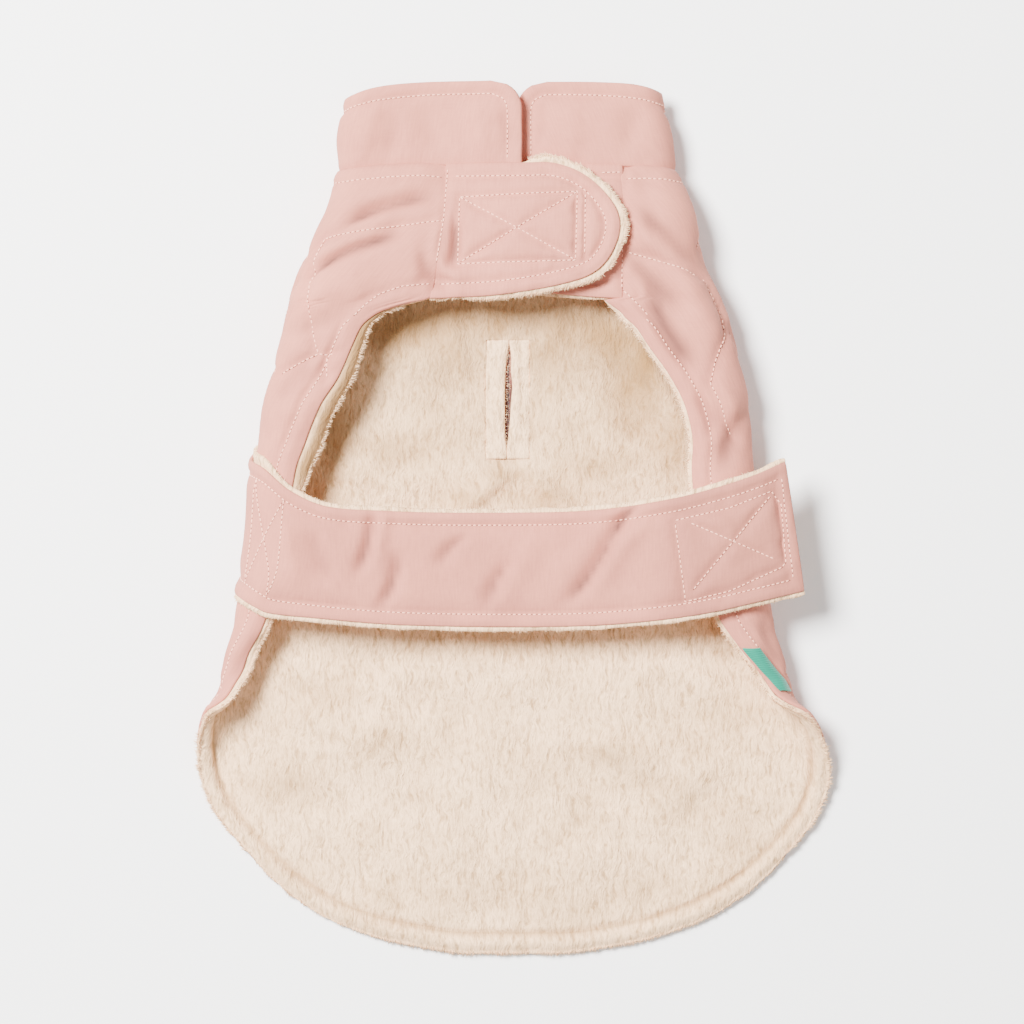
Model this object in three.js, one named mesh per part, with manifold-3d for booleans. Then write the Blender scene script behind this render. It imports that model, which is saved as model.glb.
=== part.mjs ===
// Dog winter coat, laid on its back on a table with the chest tabs and the belly strap fastened over it.
// Millimetres, +Z up. +Y runs from the rounded tail hem to the collar and +X is the viewer's right, seen from above.
// The origin is on the table, under the middle of the coat's bounding box. "Left" is the -X side.
//
// Each cloth piece is a closed wall: a grid of points on the piece's outer face, pushed inwards by two depths.
// The body's grid comes from cross-sections. A section leaves the table at a fold, turns round an arc of
// radius r through the angle wrap, and goes on straight for the length run to the cut edge.
import * as THREE from "three";
import { mergeVertices } from "three/addons/utils/BufferGeometryUtils.js";
import Module from "manifold-3d";

// ---------- driving dimensions ----------
const SHELL = 1.8; // quilted outer cloth
const GAP = 0.3; // between sewn pieces
const PILE = 2.5; // plush lining with its pile
const CLOTH = SHELL + GAP + PILE;
const LINING_LIP = 1.6; // the plush rolls this far past the outer cloth's edge
const SEAM_LIP = 0.02;
const NECK_Y = 176; // seam between body and collar
const NECK_DROP = 3.5; // the neck seam hangs lower at the side folds
const HEM_TURN_Y = -100; // below this the rows bend into the round hem
const HEM_SIDE_Y = -172;
const HEM_MID_Y = -218;
const TAB_LIFT = 5.8; // the left tab climbs over the right one
const TAB_TIP_DROP = 1.5; // and comes down again at its own end
const UNDER_TAB_DROP = 4.4; // the right tab is pressed down below it
const COLLAR_WALL = 4;
const COLLAR_HEIGHT = 41;
const COLLAR_CORNER = 14;
const STRAP_CLEAR = 0.8; // between the strap's lining and the body
const STRAP_WALL = 1.8 + GAP + 2.2;
const PATCH = 1; // hook-and-loop tape
const SLIT = { x: -2.5, y: 59, length: 53, width: 3 };
const WELT_BOX = { width: 22, length: 60 };

const PINK = new THREE.Color("#dfb7ae");
const CREAM = new THREE.Color("#e6d3bc");
const MINT = new THREE.Color("#6cc9ae");

// ---------- sections of the body, one row for each station along it ----------
const BODY_COLUMNS = ["y", "out", "r", "wrap", "run"];
const BODY_LEFT = table(BODY_COLUMNS, [
  [176, 88, 12, 180, 42.5],
  [158, 91, 15, 180, 42],
  [142, 98.5, 17, 180, 46],
  [126, 106, 17, 180, 51],
  [109, 112.3, 17, 180, 54],
  [105, 113, 17, 180, 40],
  [101, 113.8, 17, 180, 29],
  [94, 115.2, 17, 180, 22],
  [86, 117, 17, 180, 20],
  [70, 120.5, 17, 180, 16.5],
  [54, 124, 17, 180, 10],
  [38, 126, 16, 180, 6.5],
  [22, 127.5, 16, 180, 2.5],
  [4, 128, 16, 178, 1],
  [-25, 130.5, 16, 178, 1],
  [-44, 137, 15, 178, 1],
  [-58, 139.8, 14, 172, 1],
  [-66, 143, 13, 165, 1.5],
  [-74, 145.5, 12, 155, 3],
  [-82, 147.8, 12, 140, 5],
  [-90, 149.8, 12, 115, 9],
  [-98, 155, 13, 80, 12],
  [-106, 157.6, 13, 60, 11],
  [-114, 158.6, 13, 45, 9],
  [-122, 158.2, 13, 32, 8],
  [-130, 156.8, 13, 20, 7],
  [-150, 149, 13, 10, 5],
  [-172, 132, 13, 8, 4],
]);
const BODY_RIGHT = table(BODY_COLUMNS, [
  [176, 82, 12, 180, 15.5],
  [158, 88.5, 15, 184, 18],
  [142, 93, 17, 188, 19.5],
  [126, 97, 17, 188, 23.5],
  [109, 104, 17, 186, 31],
  [101, 107, 17, 186, 33],
  [94, 109, 17, 184, 29],
  [86, 111.5, 17, 183, 26.5],
  [70, 115, 17, 182, 19],
  [54, 117.5, 17, 182, 13.5],
  [38, 119, 17, 182, 11.5],
  [22, 120, 17, 182, 13],
  [4, 121.5, 17, 182, 13],
  [-25, 124.5, 16.5, 182, 12],
  [-50, 129.5, 15, 182, 11],
  [-58, 131, 14.5, 180, 8.5],
  [-66, 134, 14, 178, 6.5],
  [-74, 136.7, 13, 170, 5.5],
  [-82, 138.6, 12, 155, 5],
  [-88, 139.6, 12, 130, 7],
  [-92, 141.5, 12.5, 105, 10],
  [-98, 149, 14, 72, 13],
  [-106, 154.2, 14, 56, 11],
  [-114, 157, 14, 45, 9.5],
  [-122, 158.4, 14, 33, 8.5],
  [-130, 158.6, 14, 22, 7.5],
  [-150, 152.8, 14, 10, 5],
  [-172, 137, 14, 8, 4],
]);
const HEM = table(["x", "y"], [
  [-132, -172],
  [-112, -189.5],
  [-91.5, -202],
  [-60, -212.3],
  [-20, -218],
  [20, -218],
  [62, -212.3],
  [95, -202],
  [117, -189.5],
  [137, -172],
]);

// ---------- sections of the collar: half widths on each side, one row for each height ----------
const COLLAR = table(["h", "left", "right", "r"], [
  [0, 88, 82, 12],
  [14, 87.3, 79.8, 11.6],
  [30, 86.3, 77, 11.2],
  [41, 84.5, 75, 11],
]);

// ---------- the belly strap: stations along its outer face ----------
// It starts low on the left side, turns round the body's left fold, and lies across to past the right side.
const STRAP_TURN = table(["angle", "y", "half"], [
  [-42, 4, 31],
  [0, -3.5, 32],
  [45, -8, 32.5],
  [90, -17, 30],
]);
const STRAP_TURN_STEP = 12;
const STRAP_ACROSS = table(["x", "z", "y", "half"], [
  [-95, 37, -22.5, 27.5],
  [-60, 34, -25.5, 27.5],
  [-10, 31.5, -26.5, 27.7],
  [40, 33.5, -25.5, 28],
  [78, 38.8, -21, 29],
  [100, 40, -16.5, 30],
  [120, 39.8, -11, 31],
  [139.5, 36.5, -5, 31.5],
]);
const STRAP_END_SLANT = 4.5; // the free end's lower corner reaches this much further

// ---------- helpers ----------
function table(columns, rows) {
  return rows.map((row) => Object.fromEntries(columns.map((name, i) => [name, row[i]])));
}

// Smooth interpolation of a table's column, through its rows and never past them.
function along(rows, key, column, at) {
  const up = rows[0][key] < rows[rows.length - 1][key];
  const list = up ? rows : [...rows].reverse();
  const x = Math.min(Math.max(at, list[0][key]), list[list.length - 1][key]);
  let i = 0;
  while (i < list.length - 2 && x > list[i + 1][key]) i += 1;
  const slope = (k) => (list[k + 1][column] - list[k][column]) / (list[k + 1][key] - list[k][key]);
  const tangent = (k) => {
    if (k === 0) return slope(0);
    if (k === list.length - 1) return slope(k - 1);
    const [a, b] = [slope(k - 1), slope(k)];
    return a * b <= 0 ? 0 : (2 * a * b) / (a + b);
  };
  const span = list[i + 1][key] - list[i][key];
  const t = (x - list[i][key]) / span;
  const [t2, t3] = [t * t, t * t * t];
  return (
    (2 * t3 - 3 * t2 + 1) * list[i][column] +
    (t3 - 2 * t2 + t) * span * tangent(i) +
    (3 * t2 - 2 * t3) * list[i + 1][column] +
    (t3 - t2) * span * tangent(i + 1)
  );
}

function ease(from, to, x) {
  const t = Math.min(Math.max((x - from) / (to - from), 0), 1);
  return t * t * (3 - 2 * t);
}

function mix(a, b, t) {
  return a + (b - a) * t;
}

// One side's section at station y: where it leaves the table, its arc and its straight run.
function sectionAt(rows, y) {
  const get = (column) => along(rows, "y", column, y);
  const [r, wrap, run] = [get("r"), THREE.MathUtils.degToRad(get("wrap")), get("run")];
  const reach = wrap >= Math.PI / 2 ? r : r * Math.sin(wrap) + run * Math.cos(wrap);
  const start = get("out") - reach;
  return { start, r, wrap, run, end: start + r * wrap + run };
}

// The point of a section that lies the cloth length s from the coat's middle line.
function onSection({ start, r, wrap }, s) {
  if (s <= start) return { x: s, z: 0 };
  const turn = Math.min((s - start) / r, wrap);
  const rest = Math.max(s - start - r * wrap, 0);
  return {
    x: start + r * Math.sin(turn) + rest * Math.cos(wrap),
    z: r * (1 - Math.cos(turn)) + rest * Math.sin(wrap),
  };
}

// How far the neck line hangs at x on the upper or lower layer.
function neckDrop(x, z) {
  const side = Math.min(Math.abs(x) / 85, 1);
  return z > 12 ? NECK_DROP * side ** 4 : NECK_DROP * (1.4 - 0.4 * side ** 4);
}

// The body's outer face at cloth length s (negative on the left) and station y.
function bodyPoint(s, y) {
  const p = onSection(sectionAt(s < 0 ? BODY_LEFT : BODY_RIGHT, y), Math.abs(s));
  const x = s < 0 ? -p.x : p.x;
  return new THREE.Vector3(x, y - neckDrop(x, p.z) * ease(140, NECK_Y, y), p.z);
}

// How far the overlapping layers stand off the plain section at x: up on the left, down on the right.
function overlapLift(isLeft, x) {
  if (isLeft) return TAB_LIFT * ease(-36, 10, x) - TAB_TIP_DROP * ease(25, 52, x);
  return -UNDER_TAB_DROP * ease(54, -24, x);
}

// The collar's outer face: s runs round it from the middle of the back, h from the seam to the top edge.
function collarPath(s, h) {
  const row = (column) => along(COLLAR, "h", column, h);
  const [out, r] = [row(s < 0 ? "left" : "right"), row("r")];
  const section = { start: out - r, r, wrap: Math.PI };
  return onSection(section, Math.abs(s));
}

function collarPoint(s, h) {
  const p = collarPath(s, h);
  const x = s < 0 ? -p.x : p.x;
  const front = p.z > 12;
  const side = Math.min(Math.abs(x) / 84, 1) ** 4;
  const top = front ? mix(COLLAR_HEIGHT, COLLAR_HEIGHT - 5, side) : COLLAR_HEIGHT - 5;
  const lift = front ? overlapLift(s < 0, x) : 0;
  return new THREE.Vector3(
    x,
    NECK_Y + GAP - neckDrop(x, p.z) + (h / COLLAR_HEIGHT) * top,
    p.z + lift,
  );
}

// The inward unit normal of a surface given as point(u, v), where u x v turns inwards.
function inward(point, u, v) {
  const d = 0.4;
  const du = point(u + d, v).sub(point(u - d, v));
  const dv = point(u, v + d).sub(point(u, v - d));
  return du.cross(dv).normalize();
}

// A closed wall between two depths under a grid of { at, normal }.
function wall(grid, outer, inner) {
  const [rows, columns] = [grid.length, grid[0].length];
  const points = [];
  for (const depth of [outer, inner])
    for (const row of grid)
      for (const { at, normal } of row) points.push(at.clone().addScaledVector(normal, depth));
  const id = (side, j, i) => (side * rows + j) * columns + i;
  const faces = [];
  const quad = (a, b, c, d) => faces.push([a, b, c], [a, c, d]);
  for (let j = 0; j < rows - 1; j += 1)
    for (let i = 0; i < columns - 1; i += 1) {
      quad(id(0, j, i), id(0, j, i + 1), id(0, j + 1, i + 1), id(0, j + 1, i));
      quad(id(1, j, i), id(1, j + 1, i), id(1, j + 1, i + 1), id(1, j, i + 1));
    }
  const rim = [];
  for (let i = 0; i < columns - 1; i += 1) rim.push([0, i]);
  for (let j = 0; j < rows - 1; j += 1) rim.push([j, columns - 1]);
  for (let i = columns - 1; i > 0; i -= 1) rim.push([rows - 1, i]);
  for (let j = rows - 1; j > 0; j -= 1) rim.push([j, 0]);
  rim.forEach(([j, i], k) => {
    const [jn, inext] = rim[(k + 1) % rim.length];
    quad(id(1, j, i), id(1, jn, inext), id(0, jn, inext), id(0, j, i));
  });
  return solid(points, faces);
}

// A geometry of triangles, turned to face out.
function solid(points, faces) {
  const signed = faces.reduce(
    (sum, [a, b, c]) => sum + points[a].dot(points[b].clone().cross(points[c])),
    0,
  );
  const turned = signed < 0 ? faces.map(([a, b, c]) => [a, c, b]) : faces;
  const geometry = new THREE.BufferGeometry();
  geometry.setAttribute(
    "position",
    new THREE.Float32BufferAttribute(points.flatMap((p) => p.toArray()), 3),
  );
  geometry.setIndex(turned.flat());
  return geometry;
}

// A grid over parameters, with the inward normal of the surface at each point.
function gridOf(point, us, vs) {
  return vs.map((v) =>
    us(v).map(([u, w]) => ({ at: point(u, w), normal: inward(point, u, w) })),
  );
}

// A grid with one more ring of points past the sides named, where the plush rolls over an edge.
// Its first sewnRows rows end in a seam, where the plush stops with the outer cloth.
function lipped(grid, sides, sewnRows = 0) {
  const past = (edge, before, lip = LINING_LIP) => ({
    at: edge.at.clone().add(edge.at.clone().sub(before.at).setLength(lip)),
    normal: edge.normal,
  });
  const rows = [...grid];
  if (sides.includes("first row")) rows.unshift(grid[0].map((p, i) => past(p, grid[1][i])));
  if (sides.includes("last row")) rows.push(grid.at(-1).map((p, i) => past(p, grid.at(-2)[i])));
  return rows.map((row, k) => {
    const wide = [...row];
    const lip = k < sewnRows ? SEAM_LIP : LINING_LIP;
    if (sides.includes("first column")) wide.unshift(past(row[0], row[1], lip));
    if (sides.includes("last column")) wide.push(past(row.at(-1), row.at(-2), lip));
    return wide;
  });
}

function steps(from, to, count) {
  return Array.from({ length: count + 1 }, (_, i) => mix(from, to, i / count));
}

// ---------- body ----------
const JOIN_ROWS_Y = [176, 166, 156, 146, 134, 121, 109]; // the chest tabs are sewn on along these
const BODY_ROWS_Y = [
  ...JOIN_ROWS_Y, 105, 101, 94, 84, 70, 52, 32, 10, -10, -25, -34, -44, -55,
  -66, -76, -85, -92, -98, -106, -114, -124, -136, -150, -162, -172,
];
const ARC_CELLS = 6;

// Cloth lengths of one side's grid lines at a row, from the cut edge in to the fold's start.
function sideLines(rows, y) {
  const { start, r, wrap, end } = sectionAt(rows, y);
  const run = steps(end, start + r * wrap, 2);
  const arc = steps(start + r * wrap, start, ARC_CELLS).slice(1);
  return [...run, ...arc];
}

function hemShape(x) {
  return (along(HEM, "x", "y", x) - HEM_SIDE_Y) / (HEM_MID_Y - HEM_SIDE_Y);
}

// One row of the body's grid as [s, y] pairs; the rows near the tail bend into the hem.
function bodyRow(sideY) {
  const left = sideLines(BODY_LEFT, sideY).map((s) => -s);
  const right = sideLines(BODY_RIGHT, sideY).reverse();
  const middle = steps(0, 1, 8).map((t) => mix(left.at(-1), right[0], t - 0.06 * Math.sin(2 * Math.PI * t)));
  const lines = [...left, ...middle.slice(1, -1), ...right];
  const share = Math.max((HEM_TURN_Y - sideY) / (HEM_TURN_Y - HEM_SIDE_Y), 0);
  const deeper = share * (HEM_MID_Y - HEM_SIDE_Y);
  const [first, last] = [lines[0], lines[lines.length - 1]];
  return lines.map((s) => {
    const across = (s - first) / (last - first);
    const x = mix(HEM[0].x, HEM[HEM.length - 1].x, across);
    return [s, sideY + deeper * hemShape(x)];
  });
}

const bodyGrid = gridOf(bodyPoint, bodyRow, BODY_ROWS_Y);

// ---------- chest tabs: flat outlines, filled in between their four sides ----------
const LEFT_TAB = table(["side", "x", "y"], [
  ["top", 3.5, 175.8],
  ["top", 22, 175.4],
  ["end", 38.5, 168],
  ["end", 50.5, 153],
  ["end", 51.5, 138],
  ["end", 42, 122.5],
  ["bottom", 22, 115],
  ["bottom", -8, 110.3],
]);
const RIGHT_TAB = table(["side", "x", "y"], [
  ["top", 28, 175.8],
  ["top", 0, 175.2],
  ["end", -14, 168],
  ["end", -24, 152],
  ["end", -24, 136],
  ["end", -13, 121],
  ["bottom", 6, 113],
  ["bottom", 30, 109],
]);

// The body's cut edge that a tab is sewn to, at station y.
function joinPoint(rows, y) {
  const edge = sectionAt(rows, y).end;
  return bodyPoint(rows === BODY_LEFT ? -edge : edge, y);
}

// A tab's outer face as a height over the plan.
function tabHeight(rows) {
  const first = JOIN_ROWS_Y[0];
  const last = JOIN_ROWS_Y.at(-1);
  return (x, y) =>
    joinPoint(rows, Math.min(Math.max(y, last), first)).z + overlapLift(rows === BODY_LEFT, x);
}

// A tab's grid: a runs from the join to the free end, and one row starts at each join row of the body.
function tabGrid(rows, outline) {
  const seam = rows === BODY_LEFT ? GAP : -GAP;
  const join = JOIN_ROWS_Y.map((y) => {
    const p = joinPoint(rows, y);
    return new THREE.Vector2(p.x + seam, p.y);
  });
  const points = (side) =>
    outline.filter((p) => p.side === side).map((p) => new THREE.Vector2(p.x, p.y));
  const tip = new THREE.SplineCurve(points("end"));
  const top = new THREE.SplineCurve([join[0], ...points("top"), points("end")[0]]);
  const low = new THREE.SplineCurve([join.at(-1), ...points("bottom").reverse(), points("end").at(-1)]);
  const height = tabHeight(rows);
  const surface = (x, y) => new THREE.Vector3(x, y, height(x, y));
  return join.map((edge, k) => {
    const b = k / (join.length - 1);
    const end = tip.getPoint(b);
    return steps(0, 1, 9).map((a) => {
      const corners = join[0].clone().lerp(join.at(-1), b).lerp(tip.getPoint(0).lerp(tip.getPoint(1), b), a);
      const plan = top.getPoint(a).lerp(low.getPoint(a), b).add(edge.clone().lerp(end, a)).sub(corners);
      return { at: surface(plan.x, plan.y), normal: inward(surface, plan.x, plan.y).negate() };
    });
  });
}

// A rectangle of tape under or on a surface given as a height over the plan.
function tapeWall(box, height, outer, inner) {
  const point = (x, y) => new THREE.Vector3(x, y, height(x, y));
  const grid = steps(box.y0, box.y1, 3).map((y) =>
    steps(box.x0, box.x1, 5).map((x) => ({
      at: point(x, y),
      normal: inward(point, x, y).negate(),
    })),
  );
  return wall(grid, outer, inner);
}

// ---------- collar ----------
function collarWall() {
  const heights = [0, 14, 28, 34, 38, COLLAR_HEIGHT];
  const endX = (h) => {
    const up = Math.max(h - (COLLAR_HEIGHT - COLLAR_CORNER), 0);
    return COLLAR_CORNER - Math.sqrt(Math.max(COLLAR_CORNER ** 2 - up ** 2, 0));
  };
  const lines = (h) => {
    const side = (column, reachPast) => {
      const out = along(COLLAR, "h", column, h);
      const r = along(COLLAR, "h", "r", h);
      const start = out - r;
      const end = start + Math.PI * r + start + reachPast - endX(h);
      return [
        ...steps(end, start + Math.PI * r, 4),
        ...steps(start + Math.PI * r, start, ARC_CELLS).slice(1),
      ];
    };
    const left = side("left", 3.3).map((s) => -s);
    const right = side("right", -2.6).reverse();
    const middle = steps(left[left.length - 1], right[0], 4).slice(1, -1);
    return [...left, ...middle, ...right].map((s) => [s, h]);
  };
  return wall(gridOf(collarPoint, lines, heights), 0, COLLAR_WALL);
}

// ---------- belly strap ----------
// One lengthwise line of the strap's outer face, at the share w of its half width (1 is the collar side).
function strapLine(w) {
  const points = [];
  for (let angle = -42; angle <= 90; angle += STRAP_TURN_STEP) {
    const at = (column) => along(STRAP_TURN, "angle", column, angle);
    const y = at("y") + w * at("half");
    const { start, r } = sectionAt(BODY_LEFT, y);
    const outer = r + STRAP_CLEAR + STRAP_WALL;
    const turn = THREE.MathUtils.degToRad(angle);
    points.push(new THREE.Vector3(-start - outer * Math.cos(turn), y, r + outer * Math.sin(turn)));
  }
  for (const { x, z, y, half } of STRAP_ACROSS) {
    const slant = x === STRAP_ACROSS.at(-1).x ? w * STRAP_END_SLANT : 0;
    points.push(new THREE.Vector3(x - slant, y + w * half, z));
  }
  return points;
}

const strapCurve = (w) => new THREE.CatmullRomCurve3(strapLine(w), false, "centripetal");

function strapGrid(from, to, across, cells) {
  const point = (t, w) => strapCurve(w).getPoint(t);
  const normal = (t, w) => {
    const [dt, dw] = [0.004, 0.05];
    const clamped = Math.min(Math.max(t, dt), 1 - dt);
    const du = point(clamped + dt, w).sub(point(clamped - dt, w));
    const dv = point(clamped, w + dw).sub(point(clamped, w - dw));
    return dv.cross(du).normalize();
  };
  return steps(-across, across, 2).map((w) =>
    steps(from, to, cells).map((t) => ({ at: point(t, w), normal: normal(t, w) })),
  );
}

// ---------- side label: a plain woven tab on the right edge ----------
function labelWall() {
  const [top, bottom, from, to] = [-66, -87, 0.8, 8.8];
  const grid = steps(top, bottom, 5).map((y) => {
    const { end } = sectionAt(BODY_RIGHT, y);
    return steps(end - from, end - to, 2).map((s) => ({
      at: bodyPoint(s, y),
      normal: inward(bodyPoint, s, y),
    }));
  });
  return wall(grid, -2.5 * GAP, -2.5 * GAP - 0.8);
}

// ---------- leash slit ----------
const wasm = await Module();
wasm.setup();

function toSolid(geometry) {
  const merged = mergeVertices(geometry.clone().deleteAttribute("normal").deleteAttribute("uv"), 1e-4);
  return new wasm.Manifold(
    new wasm.Mesh({
      numProp: 3,
      vertProperties: merged.attributes.position.array,
      triVerts: new Uint32Array(merged.index.array),
    }),
  );
}

function toGeometry(manifold) {
  const mesh = manifold.getMesh();
  const geometry = new THREE.BufferGeometry();
  geometry.setAttribute("position", new THREE.BufferAttribute(mesh.vertProperties.slice(), 3));
  geometry.setIndex(new THREE.BufferAttribute(mesh.triVerts.slice(), 1));
  return geometry;
}

function box(x, y, width, length, low, high) {
  const geometry = new THREE.BoxGeometry(width, length, high - low);
  return geometry.translate(x, y, (low + high) / 2);
}

function cut(geometry, cutter) {
  return toGeometry(toSolid(geometry).subtract(toSolid(cutter)));
}

// One of the two plush strips that meet over the slit; the slit is widest in its middle.
function weltStrip(side) {
  const [half, length] = [WELT_BOX.width / 2 - GAP, WELT_BOX.length / 2 - GAP];
  const outline = new THREE.Shape();
  const lips = steps(-length, length, 8);
  const open = (y) => 0.2 + (SLIT.width / 2) * Math.max(1 - (2 * y / SLIT.length) ** 2, 0);
  outline.moveTo(side * half, -length);
  outline.lineTo(side * half, length);
  for (const y of lips.reverse()) outline.lineTo(side * open(y), y);
  const low = SHELL + GAP;
  const geometry = new THREE.ExtrudeGeometry(outline, { depth: PILE, bevelEnabled: false });
  return geometry.translate(SLIT.x, SLIT.y, low);
}

// ---------- assembly ----------
const coat = new THREE.Group();

function add(name, geometry, color, roughness) {
  const material = new THREE.MeshStandardMaterial({ color, roughness, metalness: 0 });
  const mesh = new THREE.Mesh(geometry, material);
  mesh.name = name;
  coat.add(mesh);
}

const slitCutter = box(SLIT.x, SLIT.y, SLIT.width, SLIT.length, -5, SHELL + 2 * GAP);
const windowCutter = box(SLIT.x, SLIT.y, WELT_BOX.width, WELT_BOX.length, SHELL, CLOTH + 2);
add("body_shell", cut(wall(bodyGrid, 0, SHELL), slitCutter), PINK, 0.85);
const bodyLip = lipped(bodyGrid, ["last row", "first column", "last column"], JOIN_ROWS_Y.length);
add("body_lining", cut(wall(bodyLip, SHELL + GAP, CLOTH), windowCutter), CREAM, 0.95);
add("leash_welt_left", weltStrip(-1), CREAM, 0.95);
add("leash_welt_right", weltStrip(1), CREAM, 0.95);

const leftTab = tabGrid(BODY_LEFT, LEFT_TAB);
const leftTabLip = lipped(leftTab, ["last row", "last column"]);
const rightTab = tabGrid(BODY_RIGHT, RIGHT_TAB);
add("left_tab_shell", wall(leftTab, 0, SHELL), PINK, 0.85);
add("left_tab_lining", wall(leftTabLip, SHELL + GAP, CLOTH), CREAM, 0.95);
add("right_tab_shell", wall(rightTab, 0, SHELL), PINK, 0.85);
add("right_tab_lining", wall(rightTab, SHELL + GAP, CLOTH), CREAM, 0.95);
const TAB_TAPE = { x0: -20, x1: 34, y0: 122, y1: 158 };
add("tab_hook_tape", tapeWall(TAB_TAPE, tabHeight(BODY_LEFT), CLOTH + GAP, CLOTH + GAP + PATCH), CREAM, 0.9);
add("tab_loop_tape", tapeWall(TAB_TAPE, tabHeight(BODY_RIGHT), -GAP - PATCH, -GAP), PINK, 0.9);

add("collar", collarWall(), PINK, 0.85);

const strap = strapGrid(0, 1, 1, 28);
add("strap_shell", wall(strap, 0, SHELL), PINK, 0.85);
add("strap_lining", wall(lipped(strap, ["first row", "last row"]), SHELL + GAP, STRAP_WALL), CREAM, 0.95);
const strapTape = strapGrid(0.85, 0.985, 0.75, 6);
add("strap_hook_tape", wall(strapTape, STRAP_WALL + GAP, STRAP_WALL + GAP + 0.9), CREAM, 0.9);
add("side_label", labelWall(), MINT, 0.7);

// the middle of the coat's bounding box goes over the origin
const middle = new THREE.Box3().setFromObject(coat).getCenter(new THREE.Vector3());
coat.position.set(-middle.x, -middle.y, 0);

export default coat;
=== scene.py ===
"""Dog winter coat, laid on its back with the chest tabs and the belly strap fastened over it.

The forms are worked out in millimetres from sections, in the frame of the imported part, and turned to metres
when a mesh is made. +Y runs from the tail hem to the collar, +Z is up off the table.
"""
import math

import bpy
import numpy as np
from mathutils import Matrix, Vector
from mathutils.bvhtree import BVHTree
from mathutils.kdtree import KDTree


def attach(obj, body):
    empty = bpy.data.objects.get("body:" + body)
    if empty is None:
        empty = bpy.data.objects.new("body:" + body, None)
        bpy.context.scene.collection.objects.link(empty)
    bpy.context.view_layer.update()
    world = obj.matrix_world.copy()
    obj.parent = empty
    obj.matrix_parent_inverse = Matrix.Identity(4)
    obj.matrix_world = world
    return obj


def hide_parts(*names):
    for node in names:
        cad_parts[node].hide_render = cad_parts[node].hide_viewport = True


bl_info = {
    "name": "Dog winter coat",
    "version": (1, 0, 0),
    "blender": (4, 5, 0),
    "location": "3D View > Sidebar > Coat",
    "description": "Quilted dog coat with plush lining, stand collar, chest tabs and belly strap",
    "category": "Add Mesh",
}

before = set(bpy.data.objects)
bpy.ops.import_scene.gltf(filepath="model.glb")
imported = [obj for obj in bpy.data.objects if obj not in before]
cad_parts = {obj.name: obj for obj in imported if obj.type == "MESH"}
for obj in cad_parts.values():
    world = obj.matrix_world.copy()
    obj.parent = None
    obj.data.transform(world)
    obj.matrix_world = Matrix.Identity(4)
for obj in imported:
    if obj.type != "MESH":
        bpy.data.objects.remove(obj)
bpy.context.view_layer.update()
MM = 0.001
CENTRE = np.array([-0.1, 1.15, 0.0])  # the part's origin is the middle of its box
SEED = 7
RIMS = {}  # each finished wall's rim, from which its loose pile grows

# ---------- sizes shared with the part, in millimetres ----------
GAP = 0.3
CLOTH_WALL = 1.8  # outer cloth with its wadding
PLUSH_WALL = 2.5
LINING_DEPTH = CLOTH_WALL + GAP  # from the outer face to the back of the plush
HEM_INSET = 8.6  # topstitching in from the body's cut edges
RIM_INSET = 6.3  # and from the tabs' and the collar's
NECK_Y = 176.0
NECK_DROP = 3.5
HEM_TURN_Y = -100.0
HEM_SIDE_Y = -172.0
HEM_MID_Y = -218.0
JOIN_LOW_Y = 109.0
TAB_LIFT = 5.8
TAB_TIP_DROP = 1.5
UNDER_TAB_DROP = 4.4
COLLAR_WALL = 4.0
COLLAR_HEIGHT = 41.0
COLLAR_CORNER = 14.0
COLLAR_PAST = {"left": 3.3, "right": -2.6}  # how far each front end goes past the middle
STRAP_CLEAR = 0.8
STRAP_WALL = LINING_DEPTH + 2.2
STRAP_END_SLANT = 4.5
SLIT = {"x": -2.5, "y": 59.0, "length": 53.0}
WELT = {"width": 22.0, "length": 60.0}
TAB_BOX = {"x0": -20.0, "x1": 34.0, "y0": 122.0, "y1": 158.0}


def columns(names, rows):
    """A short table as one array for each named column."""
    return {name: np.array([row[i] for row in rows], dtype=float) for i, name in enumerate(names)}


# The body's sections, one row for each station y: how far the side fold goes out, its radius, the degrees
# that it wraps, the straight run of cloth after it, and how far the plush rolls past the cut edge.
BODY_COLUMNS = ("y", "out", "r", "wrap", "run", "lip")
BODY_LEFT = columns(BODY_COLUMNS, [
    (176, 88, 12, 180, 42.5, 1.6),
    (158, 91, 15, 180, 42, 1.6),
    (142, 98.5, 17, 180, 46, 1.6),
    (126, 106, 17, 180, 51, 1.6),
    (109, 112.3, 17, 180, 54, 1.9),
    (105, 113, 17, 180, 40, 2.6),
    (101, 113.8, 17, 180, 29, 3.2),
    (94, 115.2, 17, 180, 22, 4),
    (86, 117, 17, 180, 20, 5),
    (70, 120.5, 17, 180, 16.5, 7),
    (54, 124, 17, 180, 10, 8.5),
    (38, 126, 16, 180, 6.5, 8.5),
    (22, 127.5, 16, 180, 2.5, 7),
    (4, 128, 16, 178, 1, 4),
    (-25, 130.5, 16, 178, 1, 3),
    (-44, 137, 15, 178, 1, 3),
    (-58, 139.8, 14, 172, 1, 3),
    (-66, 143, 13, 165, 1.5, 3),
    (-74, 145.5, 12, 155, 3, 2.6),
    (-82, 147.8, 12, 140, 5, 2.2),
    (-90, 149.8, 12, 115, 9, 2),
    (-98, 155, 13, 80, 12, 1.6),
    (-106, 157.6, 13, 60, 11, 1.6),
    (-114, 158.6, 13, 45, 9, 1.6),
    (-122, 158.2, 13, 32, 8, 1.6),
    (-130, 156.8, 13, 20, 7, 1.6),
    (-150, 149, 13, 10, 5, 1.6),
    (-172, 132, 13, 8, 4, 1.6),
])
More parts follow.
